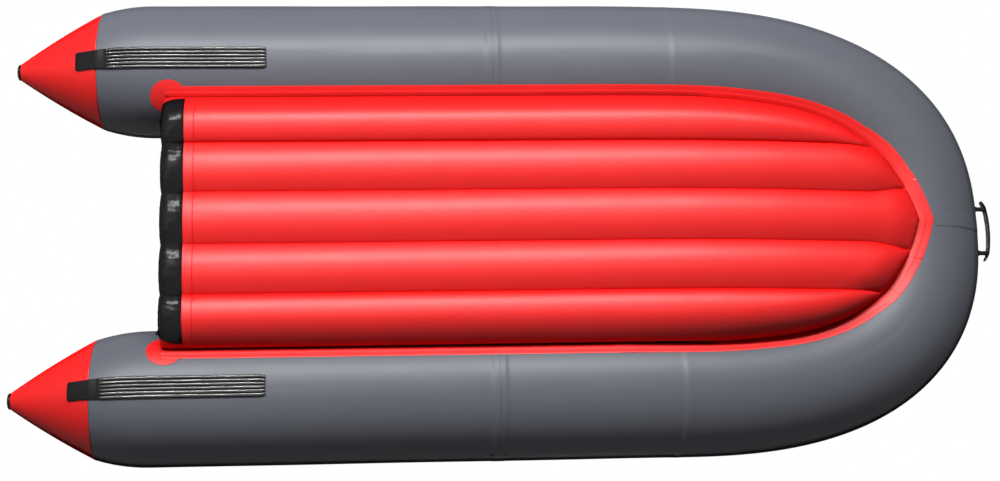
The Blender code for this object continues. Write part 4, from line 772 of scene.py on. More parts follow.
def cone_radius(x, bulge):
    """Cone's radius: a straight taper from root to tip plus a parabola that is
    nothing at both ends and the bulge at half the length."""
    share = x / CONE_TIP_X
    tip = CAP_RADIUS + 0.001
    return CONE_ROOT_RADIUS + (tip - CONE_ROOT_RADIUS) * share + 4 * bulge * share * (1 - share)


def cone(hull, side_name, side, finish):
    """Stern cone: the tapering, slightly barrelled line turned about the axis,
    turned in at the root and rounded at the tip."""
    columns, pucker_height = 120, 0.0007
    x = np.concatenate([[-0.0006], np.linspace(-0.003, CONE_TIP_X + 0.003, 64),
                        [CONE_TIP_X + 0.0008, CONE_TIP_X + 0.0003]])
    radius = cone_radius(x, hull.sizes.cone_bulge)
    radius[-2:] -= (0.0004, 0.002)
    radius[0] -= TURNED_IN
    points, flat = turned_grid(side, x, radius, columns, CONE_LAP_ANGLE, pucker_height)
    grid = closed_skin(points, flat, side > 0)
    return place(surface(f"cone_{side_name}_skin", [grid]), finish,
                 [f"cone_{side_name}"])


def cone_cap(side_name, side, finish):
    """Rubber tip: a quarter ellipse, then a short collar with one groove, all
    turned about the axis."""
    columns, round_length, face_share = 64, 0.007, 0.55
    turn = np.linspace(0.0, math.pi / 2, 9)
    round_x = CAP_TIP_X + round_length - round_length * np.cos(turn)
    round_radius = CAP_RADIUS * (face_share + 0.45 * np.sin(turn))
    collar_x = CONE_TIP_X - SKIN_GAP - np.array([0.0028, 0.0022, 0.0016, 0.0005, 0.0])
    collar = CAP_RADIUS - np.array([0.0, 0.0008, 0.0, 0.0, 0.0008])
    points = turned_grid(side, np.concatenate([round_x, collar_x]),
                         np.concatenate([round_radius, collar]), columns)[0]
    grid = closed_skin(points, flip=side < 0)
    return place(surface(f"cone_cap_{side_name}_rubber", [grid]), finish,
                 [f"cone_cap_{side_name}"], sharp=50.0)


def strake(hull, side_name, side, finish):
    """Ribbed keel strip: a section of six round ribs, a parabola each, run
    along the cone and the tube. It is plain at its aft end, up to a small
    ridge, and narrows over its ends and on the cone."""
    sizes = hull.sizes
    aft_round, fore_round, rib_start, rib_end = 0.008, 0.014, 0.003, 0.008
    side_round, ridge_height, waver_height = 0.035, 0.0012, 0.00015
    low, high = STRAKE_LOW[0] - ORIGIN[0], STRAKE_HIGH[0] - ORIGIN[0]
    step = sizes.strake_step
    marks = [low + d for d in (0.0008, 0.002, 0.005, 0.008)]
    marks += [step - 0.0014, step - 0.0007, step, step + 0.0008, step + 0.002]
    marks += [high - d for d in (0.0006, 0.0015, 0.003, 0.006, 0.012)] + [0.0]
    x = np.unique(np.concatenate([spaced(low, high, 0.012), marks]))
    share = np.linspace(-1.0, 1.0, 121)
    ends = np.minimum(smooth_step((x - low) / aft_round), smooth_step((high - x) / fore_round))
    taper = (0.90 + 0.10 * ends) * (0.87 + 0.13 * smooth_step((x + 0.04) / 0.12))
    thick = (0.45 + 0.55 * smooth_step((x - low) / 0.004)) * np.where(high - x < 0.003, 0.8, 1.0)
    ribbed = smooth_step((x - step) / rib_start) * smooth_step((high - x) / rib_end)
    ridge = np.where(np.abs(x - step + 0.0007) < 0.0008, ridge_height, 0.0)
    ribs = share * 3.0
    wave = 1 - (2 * np.mod(ribs, 1.0) - 1) ** 2
    side_fall = smooth_step((1 - np.abs(share)) / side_round)
    height = sizes.strake_base * (0.5 + 0.5 * side_fall)[None] * thick[:, None]
    height = height + sizes.strake_rib * ribbed[:, None] * (wave * side_fall)[None]
    waver = waver_height * ripple(x[:, None], ribs[None] * 0.01, 3, 0.03)
    height = height + (ridge[:, None] + waver) * side_fall
    across = share[None] * (sizes.strake_width / 2 * taper)[:, None]
    on_cone = cone_radius(np.minimum(x, 0.0), sizes.cone_bulge)
    under = np.where(x >= 0, hull.tube_radius(x), on_cone) + SEAT_GAP
    sections = []
    for lift in (height, 0 * height):
        radius = under[:, None] + lift
        turn = math.radians(sizes.strake_angle) + across / under[:, None]
        sections.append(np.stack([np.repeat(x[:, None], len(share), 1),
                                  side * (HALF_SPACING - radius * np.sin(turn)),
                                  -radius * np.cos(turn)], -1))
    points = np.concatenate([sections[0], sections[1][:, ::-1]], 1)
    flat = np.stack([x[:, None] + 0 * ribs, ribs + 0 * x[:, None]], -1)
    grid = closed_skin(points, both_faces(flat), side < 0)
    return place(surface(f"strake_{side_name}_rubber", [grid]), finish,
                 [f"strake_{side_name}"], sharp=60.0)


# Tapes
def strip(hull, angles, heights, stations, side):
    """A closed strip on the tube: rows at stations, and round each the upper
    line at its heights, then the lower line back."""
    top = hull.on_tube(stations[:, None] + 0 * angles, angles, TUBE_RADIUS + heights, side)
    low = hull.on_tube(stations[:, None] + 0 * angles, angles, TUBE_RADIUS + SKIN_GAP, side)
    return np.concatenate([top, low[:, ::-1]], 1)


def floor_tape(hull, side_name, side, finish):
    """Gluing tape in two plies: full height over its inner half, one ply over
    the rest, with its aft end round and lying over the patch."""
    sizes = hull.sizes
    ply = sizes.tape_ply
    end_length, step, joint_width, wave_height = 0.03, 0.010, 0.10, 0.0003
    joints = hull.end - np.array(TAPE_JOINTS_FROM_BOW)
    aft = PATCH_X - 0.012
    marks = [*joints, *(joints + LAP_EDGE)]
    turn = np.linspace(0, math.pi / 2, 12)
    stations = np.concatenate([aft + end_length * (1 - np.cos(turn)),
                               spaced(aft + end_length, hull.end, step, marks)[1:]])
    outer, inner = hull.tape_angles(stations)
    share = rounded_line(np.array([[0.0, 0.1], [0.0, 1.0], [0.47, 1.0], [0.49, 2.0], [0.97, 2.0],
                                   [1.0, 0.6]]), 0.22)
    near = np.clip((stations - aft) / end_length, 0.0, 1.0)
    round_end = np.sqrt(np.clip(1 - (1 - near) ** 2, 0.0, 1.0))[:, None]
    across = 0.5 + (share[:, 0][None] - 0.5) * (0.12 + 0.88 * round_end)
    angles = outer[:, None] + (inner - outer)[:, None] * across
    lift = ply * (1 - smooth_step((stations - PATCH_X - PATCH_RADIUS) / 0.004))[:, None]
    heights = SKIN_GAP + lift * 1.05 + ply * share[:, 1][None]
    for joint in joints:
        heights = heights + 0.8 * lap(stations - joint, joint_width)[:, None]
    heights = heights + wave_height * ripple(stations[:, None], angles * 0.004, 41, 0.09)
    points = strip(hull, angles, heights, stations, side)
    flat = np.stack([stations[:, None] + 0 * angles, np.radians(angles) * TUBE_RADIUS], -1)
    grid = closed_skin(points, both_faces(flat), side < 0)
    piece = place(surface(f"floor_tape_{side_name}_strip", [grid]), finish,
                  [f"floor_tape_{side_name}"])
    return piece


def tape_patch(hull, side_name, side, finish):
    """Round patch at the tape's aft end: rings of a disc laid on the tube."""
    ply, wave_height = hull.sizes.tape_ply, 0.0003
    radius = np.concatenate([[0.0], np.linspace(0.06, 0.98, 22), [1.0, 1.0]]) * PATCH_RADIUS
    turn = np.linspace(0.0, math.tau, 97)[:-1]
    r, t = np.meshgrid(radius, turn, indexing="ij")
    angle = hull.sizes.patch_angle + np.degrees(r * np.sin(t) / TUBE_RADIUS)
    lift = np.full(r.shape, ply)
    lift[-1] = 0.0
    waves = ripple(r * np.cos(t), r * np.sin(t), 47, 0.05)[:-1]
    lift[:-1] += wave_height * waves * (r[:-1] / PATCH_RADIUS)
    top = hull.on_tube(PATCH_X + r * np.cos(t), angle, TUBE_RADIUS + SKIN_GAP + lift, side)
    bottom = hull.on_tube(PATCH_X + r[::-1] * np.cos(t), angle[::-1], TUBE_RADIUS + SKIN_GAP, side)
    points = np.concatenate([top, bottom[1:]])
    flat = np.stack([r * np.cos(t), r * np.sin(t)], -1)
    flat = np.concatenate([flat, flat[::-1][1:]])
    flat = np.concatenate([flat, flat[:, :1]], 1)
    grid = {"points": points, "flat": flat, "columns_closed": True, "flip": side < 0}
    piece = place(surface(f"tape_patch_{side_name}_disc", [grid]), finish,
                  [f"tape_patch_{side_name}"])
    return piece


def bow_seam_tape(hull, finish):
    """Tape over the bow joint: a strip across the stem, carried round it from
    the floor tape to just past the top."""
    width = SEAM_HIGH[1] - SEAM_LOW[1] - 0.005
    past_top, wave_height = -189.0, 0.0003
    outer = float(hull.tape_angles(np.array(hull.end))[0])
    angles = np.linspace(outer - 1.0, past_top, 110)
    across = rounded_line(np.array([[-1.0, 0.15], [-0.985, 1.0], [0.0, 1.15], [0.985, 1.0],
                                    [1.0, 0.15]]), 0.2)
    y = across[:, 0] * width / 2
    a, y = np.meshgrid(angles, y, indexing="ij")
    lift = np.repeat(across[None, :, 1], len(angles), 0) * hull.sizes.tape_ply
    lift = lift + wave_height * ripple(np.radians(a) * TUBE_RADIUS, y, 53, 0.06)
    station = hull.end - np.abs(y)
    lines = []
    for height in (lift, 0 * lift):
        points = hull.on_tube(station, a, TUBE_RADIUS + SKIN_GAP + height, 1)
        points[..., 1] = y
        lines.append(points)
    points = np.concatenate([lines[0], lines[1][:, ::-1]], 1)
    flat = np.stack([np.radians(a) * TUBE_RADIUS, y], -1)
    grid = closed_skin(points, both_faces(flat))
    piece = place(surface("bow_seam_tape_strip", [grid]), finish, ["bow_seam_tape"])
    return piece


# Air floor
def chamber_columns(hull, edge_y, per_chamber):
    """Places across the floor: a cosine spread in each of five chambers, so
    they crowd at the creases."""
    spread = (1 - np.cos(np.linspace(0.0, math.pi, per_chamber + 1))) / 2
    marks = [-edge_y, -hull.valley_outer, -hull.valley_inner, hull.valley_inner,
             hull.valley_outer, edge_y]
    columns = [low + (high - low) * spread[:-1] for low, high in zip(marks[:-1], marks[1:])]
    return np.concatenate(columns + [[edge_y]])


def floor_rows(first, front, step, marks=()):
    """Places along the floor, then rows that crowd into the bow's round end
    as a square."""
    round_end = 0.55
    bend = front - round_end
    crowd = front - round_end * np.linspace(1.0, 0.0, 72)[1:] ** 2
    return np.concatenate([spaced(first, bend, step, marks), crowd])


def within(hull, x, y, edge):
    """Columns held inside the sheet's outline, where they run along it."""
    near = np.clip((hull.valley_outer - np.abs(y)) / (hull.valley_outer - hull.valley_inner),
                   0.0, 1.0)
    y = y * (1 + (hull.crease_flare(x) - 1) * near)
    limit = np.interp(x, edge[:, 0], edge[:, 1])
    limit = np.where(x >= edge[-1, 0] - 1e-6, 0.0, limit)
    return np.clip(y, -limit, limit)


def bottom_relief(hull, x, y):
    """Small forms of the bottom sheet: two laps and a groove behind the wear
    band, puckers by them, weld lines in the creases with pulls beside them,
    and at the bow gathers, creases that deepen into the tape, and a fold.
    Grooves are bell curves, and the rest are uneven waves that fade with the
    distance from what pulls them."""
    lap_width, groove_depth, groove_width = 0.060, 0.0016, 0.0008
    second_lap_width, second_lap_share = 0.050, 0.35
    pucker_height, pucker_reach = 0.0008, 0.030
    pull_height, pull_share = 0.0006, 0.16
    gather_height, gather_reach = 0.0024, 0.055
    weld_width, bow_weld_depth, bow_weld_width = 0.0022, 0.0060, 0.007
    fold_depth, fold_width, fold_length = 0.0050, 0.0045, 0.060
    wave_height, edge_room, band_room = 0.0009, 0.010, 0.002
    sizes = hull.sizes
    bow_x = hull.floor_edge[-1, 0]
    past_seam = x - sizes.floor_seam_x
    first = lap(past_seam, lap_width) - groove_depth * bell(past_seam + 0.0010, groove_width)
    second = second_lap_share * lap(past_seam - BAND_JOINT_AFTER_SEAM, second_lap_width)
    behind = np.exp(-np.abs(past_seam - 0.010) / pucker_reach)
    puckers = behind * ripple(y, x * 0.25, 61, 0.045) * pucker_height
    inward = 1 - np.abs(hull.chamber_share(x, y))
    from_crease = inward * hull.valley_inner
    pulls = np.exp(-inward / pull_share) * ripple(x, y * 0.15, 67, 0.055) * pull_height
    gap = hull.edge_roll(x, y, hull.floor_edge, sizes.roll_width)[2]
    bow = smooth_step((x - sizes.straight_length - 0.25) / 0.5)
    waves = ripple(np.arctan2(y, bow_x - x - 0.4), gap * 0.6, 71, 0.16)
    gathers = bow * np.exp(-gap / gather_reach) * waves * gather_height
    into_tape = bow * (1 - smooth_step((gap - 0.012) / 0.050))
    fold = smooth_step((x - bow_x + fold_length) / 0.030)
    weld = (-WELD_DEPTH * bell(from_crease, weld_width)
            - bow_weld_depth * into_tape * bell(from_crease, bow_weld_width)
            - fold_depth * fold * bell(y, fold_width))
    slow = ripple(x, y * 0.8, 73, 0.35) * wave_height
    inset = smooth_step(gap / edge_room)
    beyond_band = smooth_step((x - hull.floor_aft - sizes.band_length - band_room) / 0.020)
    return (first + second + puckers + weld + pulls + slow + gathers) * inset * beyond_band


def floor_bottom(hull, finish):
    """Bottom sheet: its height at each place, laid over rows and columns."""
    row_step, per_chamber, sheet_start = 0.0125, 26, FLOOR_START_X + 0.018
    edge = hull.floor_edge
    seam = hull.sizes.floor_seam_x
    marks = [seam - d for d in (0.0022, 0.0014, 0.0007)]
    marks += [seam + d for d in (0.0, LAP_EDGE / 2, LAP_EDGE, BAND_JOINT_AFTER_SEAM,
                                 BAND_JOINT_AFTER_SEAM + LAP_EDGE)]
    x = floor_rows(sheet_start, edge[-1, 0], row_step, marks)
    y = chamber_columns(hull, edge[0, 1], per_chamber)
    x, y = np.meshgrid(x, y, indexing="ij")
    y = within(hull, x, y, edge)
    z = hull.bottom_height(x, y) - bottom_relief(hull, x, y)
    grid = {"points": np.stack([x, y, z], -1), "flat": np.stack([x, y], -1), "flip": True}
    obj = thicken(surface("floor_bottom_sheet", [grid]), SHEET_THICKNESS)
    piece = place(obj, finish, ["floor_bottom"])
    return piece


def floor_deck(hull, finish):
    """Deck sheet: the shallower lobes seen from inside the boat, with weld
    lines in their creases, pulls beside them and slow waves."""
    row_step, per_chamber = 0.014, 22
    weld_width, pull_height, pull_share = 0.0024, 0.0006, 0.2
    wave_height, edge_room = 0.0008, 0.012
    edge = hull.deck_edge
    x = floor_rows(FLOOR_START_X, edge[-1, 0], row_step)
    y = chamber_columns(hull, edge[0, 1], per_chamber)
    x, y = np.meshgrid(x, y, indexing="ij")
    y = within(hull, x, y, edge)
    inward = 1 - np.abs(hull.chamber_share(x, y))
    weld = -WELD_DEPTH * bell(inward * hull.valley_inner, weld_width)
    gap = hull.edge_roll(x, y, edge, hull.sizes.deck_roll_width)[2]
    pulls = np.exp(-inward / pull_share) * ripple(x, y * 0.2, 83, 0.06) * pull_height
    slow = ripple(x, y, 89, 0.3) * wave_height
    relief = (weld + pulls + slow) * smooth_step(gap / edge_room)
    z = hull.deck_height(x, y) + relief
    grid = {"points": np.stack([x, y, z], -1), "flat": np.stack([x, y], -1)}
    obj = thicken(surface("floor_deck_sheet", [grid]), SHEET_THICKNESS)
    piece = place(obj, finish, ["floor_deck"])
    return piece


def band_lines(hull, y, lift):
    """A wrap's section at each place across, a lift off the sheets: over the
    deck, round the aft end and under, its corners cut smooth."""
    sizes = hull.sizes
    over_y = y * hull.deck_edge[0, 1] / hull.floor_edge[0, 1]
    aft_x = hull.floor_aft
    bulge = hull.chamber_bulge(np.full(len(y), aft_x), y)
    aft = aft_x - sizes.band_bulge * bulge - lift
    over_x = np.full(len(y), aft_x + sizes.band_over_length)
    start = np.full(len(y), FLOOR_START_X)
    end_x = np.full(len(y), aft_x + sizes.band_length)
    low = hull.bottom_height(start, y) - lift
    high = hull.deck_height(over_x, over_y) + lift
    tall = high - low
    end_low = hull.bottom_height(end_x, y) - lift
    marks = [(over_x, 1.0, high), (start - 0.004, 1.0, high), (aft, 0.72, low + 0.72 * tall),
             (aft, 0.28, low + 0.28 * tall), (start, 0.0, low), (end_x, 0.0, end_low)]
    lines = np.array([np.stack([x, y + (over_y - y) * share, z], -1) for x, share, z in marks])
    return rounded_line(lines, 0.25, 3)


def floor_band(hull, finish):
    """Wear band: sections side by side, its ends trimmed on a slant so it is
    longest at its forward edge, with three sizes of uneven wrinkles, pushed
    out aft and, underneath, down. It swells between the creases."""
    cloth_length, per_chamber, swell = 0.16, 56, 0.0010
    aft_heights = np.array([0.0012, 0.0008, 0.0006])
    under_heights = np.array([0.0012, 0.0009, 0.0009])
    edge_y = hull.floor_edge[0, 1] - hull.sizes.band_side_room
    y = chamber_columns(hull, edge_y, per_chamber)
    reach = np.clip((np.abs(y) - hull.valley_outer) / (edge_y - hull.valley_outer), 0.0, 1.0)
    count = len(band_lines(hull, y[:2], 0.0))
    forward = np.linspace(0.0, 1.0, count)[:, None]
    trim = hull.sizes.band_slant * np.clip((1.0 - forward) / 0.42, 0.0, 1.0)
    points = np.array([band_lines(hull, y - np.sign(y) * cut * reach, hull.sizes.band_room)[row]
                       for row, cut in enumerate(trim)])
    share = hull.chamber_share(np.full(len(y), hull.floor_aft), y)
    pinch = np.exp(-(1 - np.abs(share)) / 0.05)
    wrinkle, fine, small = (
        0.5 + 0.5 * ripple(y[None] + 0 * forward, forward * stretch, seed, size)
        for stretch, seed, size in ((0.12, 97, 0.030), (0.3, 101, 0.013), (0.16, 103, 0.011)))
    round_end = smooth_step((0.9 - forward) / 0.3)
    under = smooth_step((forward - 0.5) / 0.2)
    for axis, (high, middle, low), where in ((0, aft_heights, round_end),
                                             (2, under_heights, under)):
        points[..., axis] -= (high * wrinkle + middle * fine + low * small) * where
    points[..., 0] -= swell * (1 - pinch[None]) * smooth_step((0.8 - forward) / 0.3)
    flat = np.stack([y[None] + 0 * forward, forward * cloth_length + 0 * y[None]], -1)
    grid = {"points": points, "flat": flat}
    obj = thicken(surface("floor_wear_band_wrap", [grid]), hull.sizes.band_thickness, 1.0)
    piece = place(obj, finish, ["floor_wear_band"])
    return piece


def floor_corner(hull, side_name, side, finish):
    """Red gusset at the floor's aft corner, under the band's slanting end: the
    band's sections, closer to the floor, with slight uneven folds."""
    width, fold_height = 0.10, 0.0003
    edge_y = hull.floor_edge[0, 1] - 0.001
    y = side * np.linspace(edge_y - width, edge_y, 40)
    lines = band_lines(hull, y, hull.sizes.band_room / 2)
    fold = ripple(y[None] * 2 + 0 * lines[..., 0], lines[..., 2], 107, 0.03) * fold_height
    lines[..., 0] += fold
    flat = np.stack([lines[..., 1], lines[..., 0] + lines[..., 2]], -1)
    grid = {"points": lines, "flat": flat, "flip": side < 0}
    obj = thicken(surface(f"floor_corner_{side_name}", [grid]), CORNER_THICKNESS)
    piece = place(obj, finish)
    return piece


def floor_web(hull, name, finish):
    """Upright web along a crease: a sheet between deck and bottom, its middle
    pulled sideways a little by the air on both sides, with its edges glued."""
    sway_width = 0.004
    low, high = node_box(name)
    y = (low[1] + high[1]) / 2
    x = np.linspace(low[0], high[0], 180) - ORIGIN[0]
    bottom = hull.bottom_height(x, y) + WEB_GAP
    top = hull.deck_height(x, y) - WEB_GAP
    share = np.linspace(0.0, 1.0, 14)
    z = bottom[:, None] + (top - bottom)[:, None] * share[None]
    sway = np.sin(share * math.pi)[None] * ripple(x, 0 * x, 109 + int(y * 100), 0.4)[:, None]
    points = np.stack([x[:, None] + 0 * z, y + sway_width * sway, z], -1)
    flat = np.stack([x[:, None] + 0 * z, z], -1)
    grid = {"points": points, "flat": flat}
    obj = thicken(surface(f"{name}_sheet", [grid]), WEB_THICKNESS, 0.0)
    piece = place(obj, finish, [name])
    return piece


def baffle(side_name, side, finish):
    """Round diaphragm across the tube: two flat discs a thickness apart, in
    rings about the tube's axis, joined at the rim."""
    low, high = node_box(f"baffle_{side_name}")
    middle = (low[0] + high[0]) / 2 - ORIGIN[0]
    radius = np.linspace(0.0, (high[2] - low[2]) / 2, 14)
    turn = np.linspace(0.0, math.tau, 73)[:-1]
    r, t = np.meshgrid(radius, turn, indexing="ij")
    aft, fore = (np.stack([middle + offset + 0 * r, side * HALF_SPACING + r * np.sin(t),
                           r * np.cos(t)], -1)
                 for offset in (-BAFFLE_THICKNESS / 2, BAFFLE_THICKNESS / 2))
    points = np.concatenate([aft, fore[::-1]])
    flat = np.stack([r * np.cos(t), r * np.sin(t)], -1)
    flat = np.concatenate([flat, flat[::-1]])
    flat = np.concatenate([flat, flat[:, :1]], 1)
    grid = {"points": points, "flat": flat, "columns_closed": True}
    piece = place(surface(f"baffle_{side_name}_sheet", [grid]), finish,
                  [f"baffle_{side_name}"])
    return piece


# Bow handle
def handle_band(hull, finish):
    """Grip band: an oval section along a shallow bow that curls at its ends,
    and two legs whose oval sections flare into feet on the pads."""
    pad_thickness, section_power, end_thinning, end_narrowing = 0.0049, 0.6, 0.4, 0.25
    groove_share, foot_swell, root_swell = 0.05, 0.9, 0.5
    face = HANDLE_HIGH[0] - ORIGIN[0]
    middle_z = (HANDLE_HIGH[2] + HANDLE_LOW[2]) / 2 - ORIGIN[2]
    half = (HANDLE_HIGH[1] - HANDLE_LOW[1]) / 2
    wide = (HANDLE_HIGH[2] - HANDLE_LOW[2]) / 2
    sizes = hull.sizes
    share = np.linspace(-1.0, 1.0, 97)
    reach = np.abs(share)
    lean = sizes.handle_bend * reach ** 2 + sizes.handle_curl * smooth_step((reach - 0.75) / 0.3)
    thick = sizes.handle_thickness / 2 * (1 - end_thinning * reach ** 3)
    x = face - thick - lean
    y = share * half
    step = np.gradient(np.stack([x, y], -1), axis=0)
    step /= np.linalg.norm(step, axis=1)[:, None]
    normal = np.stack([step[:, 1], -step[:, 0]], -1)
    turn = np.linspace(0.0, math.tau, 41)[:-1]
    shape = np.sign(np.cos(turn)) * np.abs(np.cos(turn)) ** section_power
    rise = np.sign(np.sin(turn)) * np.abs(np.sin(turn)) ** section_power
    width = wide * (1 - end_narrowing * smooth_step((reach - 0.9) / 0.1))
    grooves = 1 - groove_share * np.cos(turn * 5) ** 2
    out = thick[:, None] * shape[None] * grooves[None]
    points = np.stack([x[:, None] + normal[:, :1] * out, y[:, None] + normal[:, 1:] * out,
                       middle_z + width[:, None] * rise[None]], -1)
    grids = [closed_skin(points)]
    pad_radius = TUBE_RADIUS + pad_thickness
    stem = hull.on_tube(np.linspace(hull.end - 0.2, hull.end, 80), -90.0, pad_radius)[::-1]
    for side in SIDES.values():
        leg_y = side * (PAD_LOW[1] + PAD_HIGH[1]) / 2
        at = float(np.interp(abs(leg_y), y[48:], x[48:]))
        run = np.linspace(0.0, 1.0, 26)[:, None]
        swell = (1 + foot_swell * (1 - smooth_step(run / 0.45))
                 + root_swell * smooth_step((run - 0.7) / 0.3))
        leg_rows = leg_y + sizes.handle_leg / 2 * swell * shape[None]
        leg_up = wide * (0.62 + 0.16 * (1 - smooth_step(run / 0.4))) * rise[None]
        foot = np.interp(np.abs(leg_rows), stem[:, 1], stem[:, 0])
        foot = foot - pad_radius + np.sqrt(pad_radius ** 2 - leg_up ** 2)
        leg = np.stack([foot + (at - foot) * run, leg_rows, middle_z + leg_up], -1)
        grids.append(closed_skin(leg))
    return place(surface("bow_handle_grip", grids), finish, ["bow_handle"],
                 sharp=50.0)


# Stage
CAMERA_WIDTH_PX = 1000.0
CAMERA_FOCAL_PX = 1671.87
SENSOR_WIDTH_MM = 36.0
CAMERA_TILT = 0.194
CAMERA_LEAN = -0.0745
CAMERA_ROLL = -0.0102
CAMERA_AIM = (1.361, 0.0, 0.0)
CAMERA_OFFSET = (0.0302, -0.0379, 5.671)
CAMERA_CLIP_END = 200.0

# Lamps: name, place from the hull's middle, width, height and power
LAMP_AIM = (1.3, 0.0, 0.0)
LAMPS = (
    ("key_below", (-0.7, -3.6, -4.93), 8.6, 0.75, 900.0),
    ("fill_below", (-4.2, -0.8, -2.4), 1.5, 3.0, 14.0),
    ("key_above", (-1.0, -1.3, 4.4), 4.0, 2.0, 260.0),
    ("fill_above", (1.4, 1.0, 4.6), 4.0, 2.0, 110.0),
)

# Stage floor: its own shine's share, and the painted shade, from ambient occlusion, under what
# stands near it
OWN_SHINE = 0.75
SHADE_REACH = 0.8
SHADE_LEAST = 0.25
SHADE_SAMPLES = 8


def one_sided(name, colour, clear_from, clear_at):
    """Floor paint that is there for the camera from above, and lets every
    other ray through, so that the boat can also be lit and seen from below.
    Most of it shines by itself, with a painted shade that dims its shine where something stands
    close over it, and it clears into the background with its distance from the middle."""
    material = bpy.data.materials.new(name)
    material.use_nodes = True
    tree = Tree(material.node_tree)
    tree.nodes.remove(tree.shader)
    place_on = tree.coordinates("Object")
    pale = tree.mix(tree.noise(place_on, 2.0, 2.0), colour, tint(colour, 0.985))
    # Painted shade: ambient occlusion dims the floor's own shine under the boat
    open_sky = tree.node("ShaderNodeAmbientOcclusion", {"Distance": SHADE_REACH}, "AO",
                         samples=SHADE_SAMPLES)
    shine = tree.node("ShaderNodeEmission", {
        "Color": pale, "Strength": tree.spread(open_sky, 0.0, 1.0, SHADE_LEAST)})
    lit = tree.node("ShaderNodeMixShader", {
        0: OWN_SHINE, 1: tree.node("ShaderNodeBsdfDiffuse", {"Color": pale}), 2: shine})
    distance = tree.node("ShaderNodeVectorMath", {0: place_on}, "Value", operation="LENGTH")
    near = tree.spread(distance, clear_from, clear_at, 1.0, 0.0, interpolation_type="SMOOTHSTEP")
    above = tree.math("SUBTRACT", 1.0, tree.node("ShaderNodeNewGeometry", output="Backfacing"))
    seen = tree.math("MULTIPLY", tree.node("ShaderNodeLightPath", output="Is Camera Ray"), above)
    whole = tree.node("ShaderNodeMixShader", {
        0: tree.math("MULTIPLY", seen, near), 1: tree.node("ShaderNodeBsdfTransparent"), 2: lit})
    tree.put(tree.nodes["Material Output"].inputs["Surface"], whole)
    return material


def studio_floor(context):
    """A flat square under the boat, with its one-sided paint."""
    stage = context.scene.boat_stage
    half = stage.floor_size / 2
    mesh = bpy.data.meshes.new("stage_floor")
    mesh.from_pydata([(-half, -half, 0), (half, -half, 0), (half, half, 0), (-half, half, 0)],
                     [], [(0, 1, 2, 3)])
    mesh.materials.append(one_sided("stage_paint", context.scene.boat_colours.floor,
                                    stage.clear_from, stage.clear_at))
    floor = bpy.data.objects.new("stage_floor", mesh)
    context.scene.collection.objects.link(floor)


def studio_world(ambient):
    """White where the camera, a mirror or glass looks, and a dimmer even light
    on surfaces."""
    world = bpy.data.worlds.new("studio")
    world.use_nodes = True
    tree = Tree(world.node_tree)
    path = tree.nodes.new("ShaderNodeLightPath").outputs
    seen = path["Is Camera Ray"]
    for ray in ("Is Glossy Ray", "Is Transmission Ray"):
        seen = tree.math("MAXIMUM", seen, path[ray])
    background = tree.nodes["Background"].inputs
    tree.put(background["Color"], (1.0, 1.0, 1.0, 1.0))
    tree.put(background["Strength"], tree.spread(seen, 0.0, 1.0, ambient, 1.0))
    bpy.context.scene.world = world


def lamp(name, place_at, aim, width, height, power):
    """A soft rectangular lamp at a place, turned to face a point."""
    light = bpy.data.lights.new(name, "AREA")
    light.shape = "RECTANGLE"
    light.size, light.size_y = width, height
    light.energy = power
    light.cycles.use_multiple_importance_sampling = False
    obj = bpy.data.objects.new(name, light)
    obj.location = place_at
    obj.rotation_euler = (Vector(aim) - Vector(place_at)).to_track_quat("-Z", "Y").to_euler()
    bpy.context.scene.collection.objects.link(obj)


def studio_camera():
    """The photograph's view. The rows of its turn are the view's right, down
    and forward directions in the hull's axes."""
    rows = (Matrix.Rotation(CAMERA_ROLL, 3, "Z") @ Matrix.Rotation(CAMERA_LEAN, 3, "Y")
            @ Matrix.Rotation(-CAMERA_TILT, 3, "X"))
    aim = Vector(CAMERA_AIM) + Vector(ORIGIN)
    data = bpy.data.cameras.new("photo_camera")
    data.sensor_width = SENSOR_WIDTH_MM
    data.lens = CAMERA_FOCAL_PX / CAMERA_WIDTH_PX * SENSOR_WIDTH_MM
    data.clip_end = CAMERA_CLIP_END
    camera = bpy.data.objects.new("photo_camera", data)
    turn = Matrix((rows[0], -rows[1], -rows[2])).transposed()
    camera.matrix_world = (Matrix.Translation(aim - rows.transposed() @ Vector(CAMERA_OFFSET))
                           @ turn.to_4x4())
    bpy.context.scene.collection.objects.link(camera)
    bpy.context.scene.camera = camera


# Sizes, colours, operators and the panel
def length(name, description, default):
    """A size in metres."""
    return FloatProperty(name=name, description=description, default=default,
                         soft_min=0.0, unit="LENGTH", precision=4)


def degrees(name, description, default):
    """An angle round a tube, in degrees."""
    return FloatProperty(name=name, description=f"{description}, in degrees", default=default)


def ratio(name, description, default, most=4.0):
    """A share or a power."""
    return FloatProperty(name=name, description=description, default=default, subtype="FACTOR",
                         min=0.0, max=most)


def paint(name, description, *default):
    """A colour, opaque."""
    return FloatVectorProperty(name=name, description=description, default=(*default, 1.0),
                               size=4, subtype="COLOR", min=0.0, max=1.0)


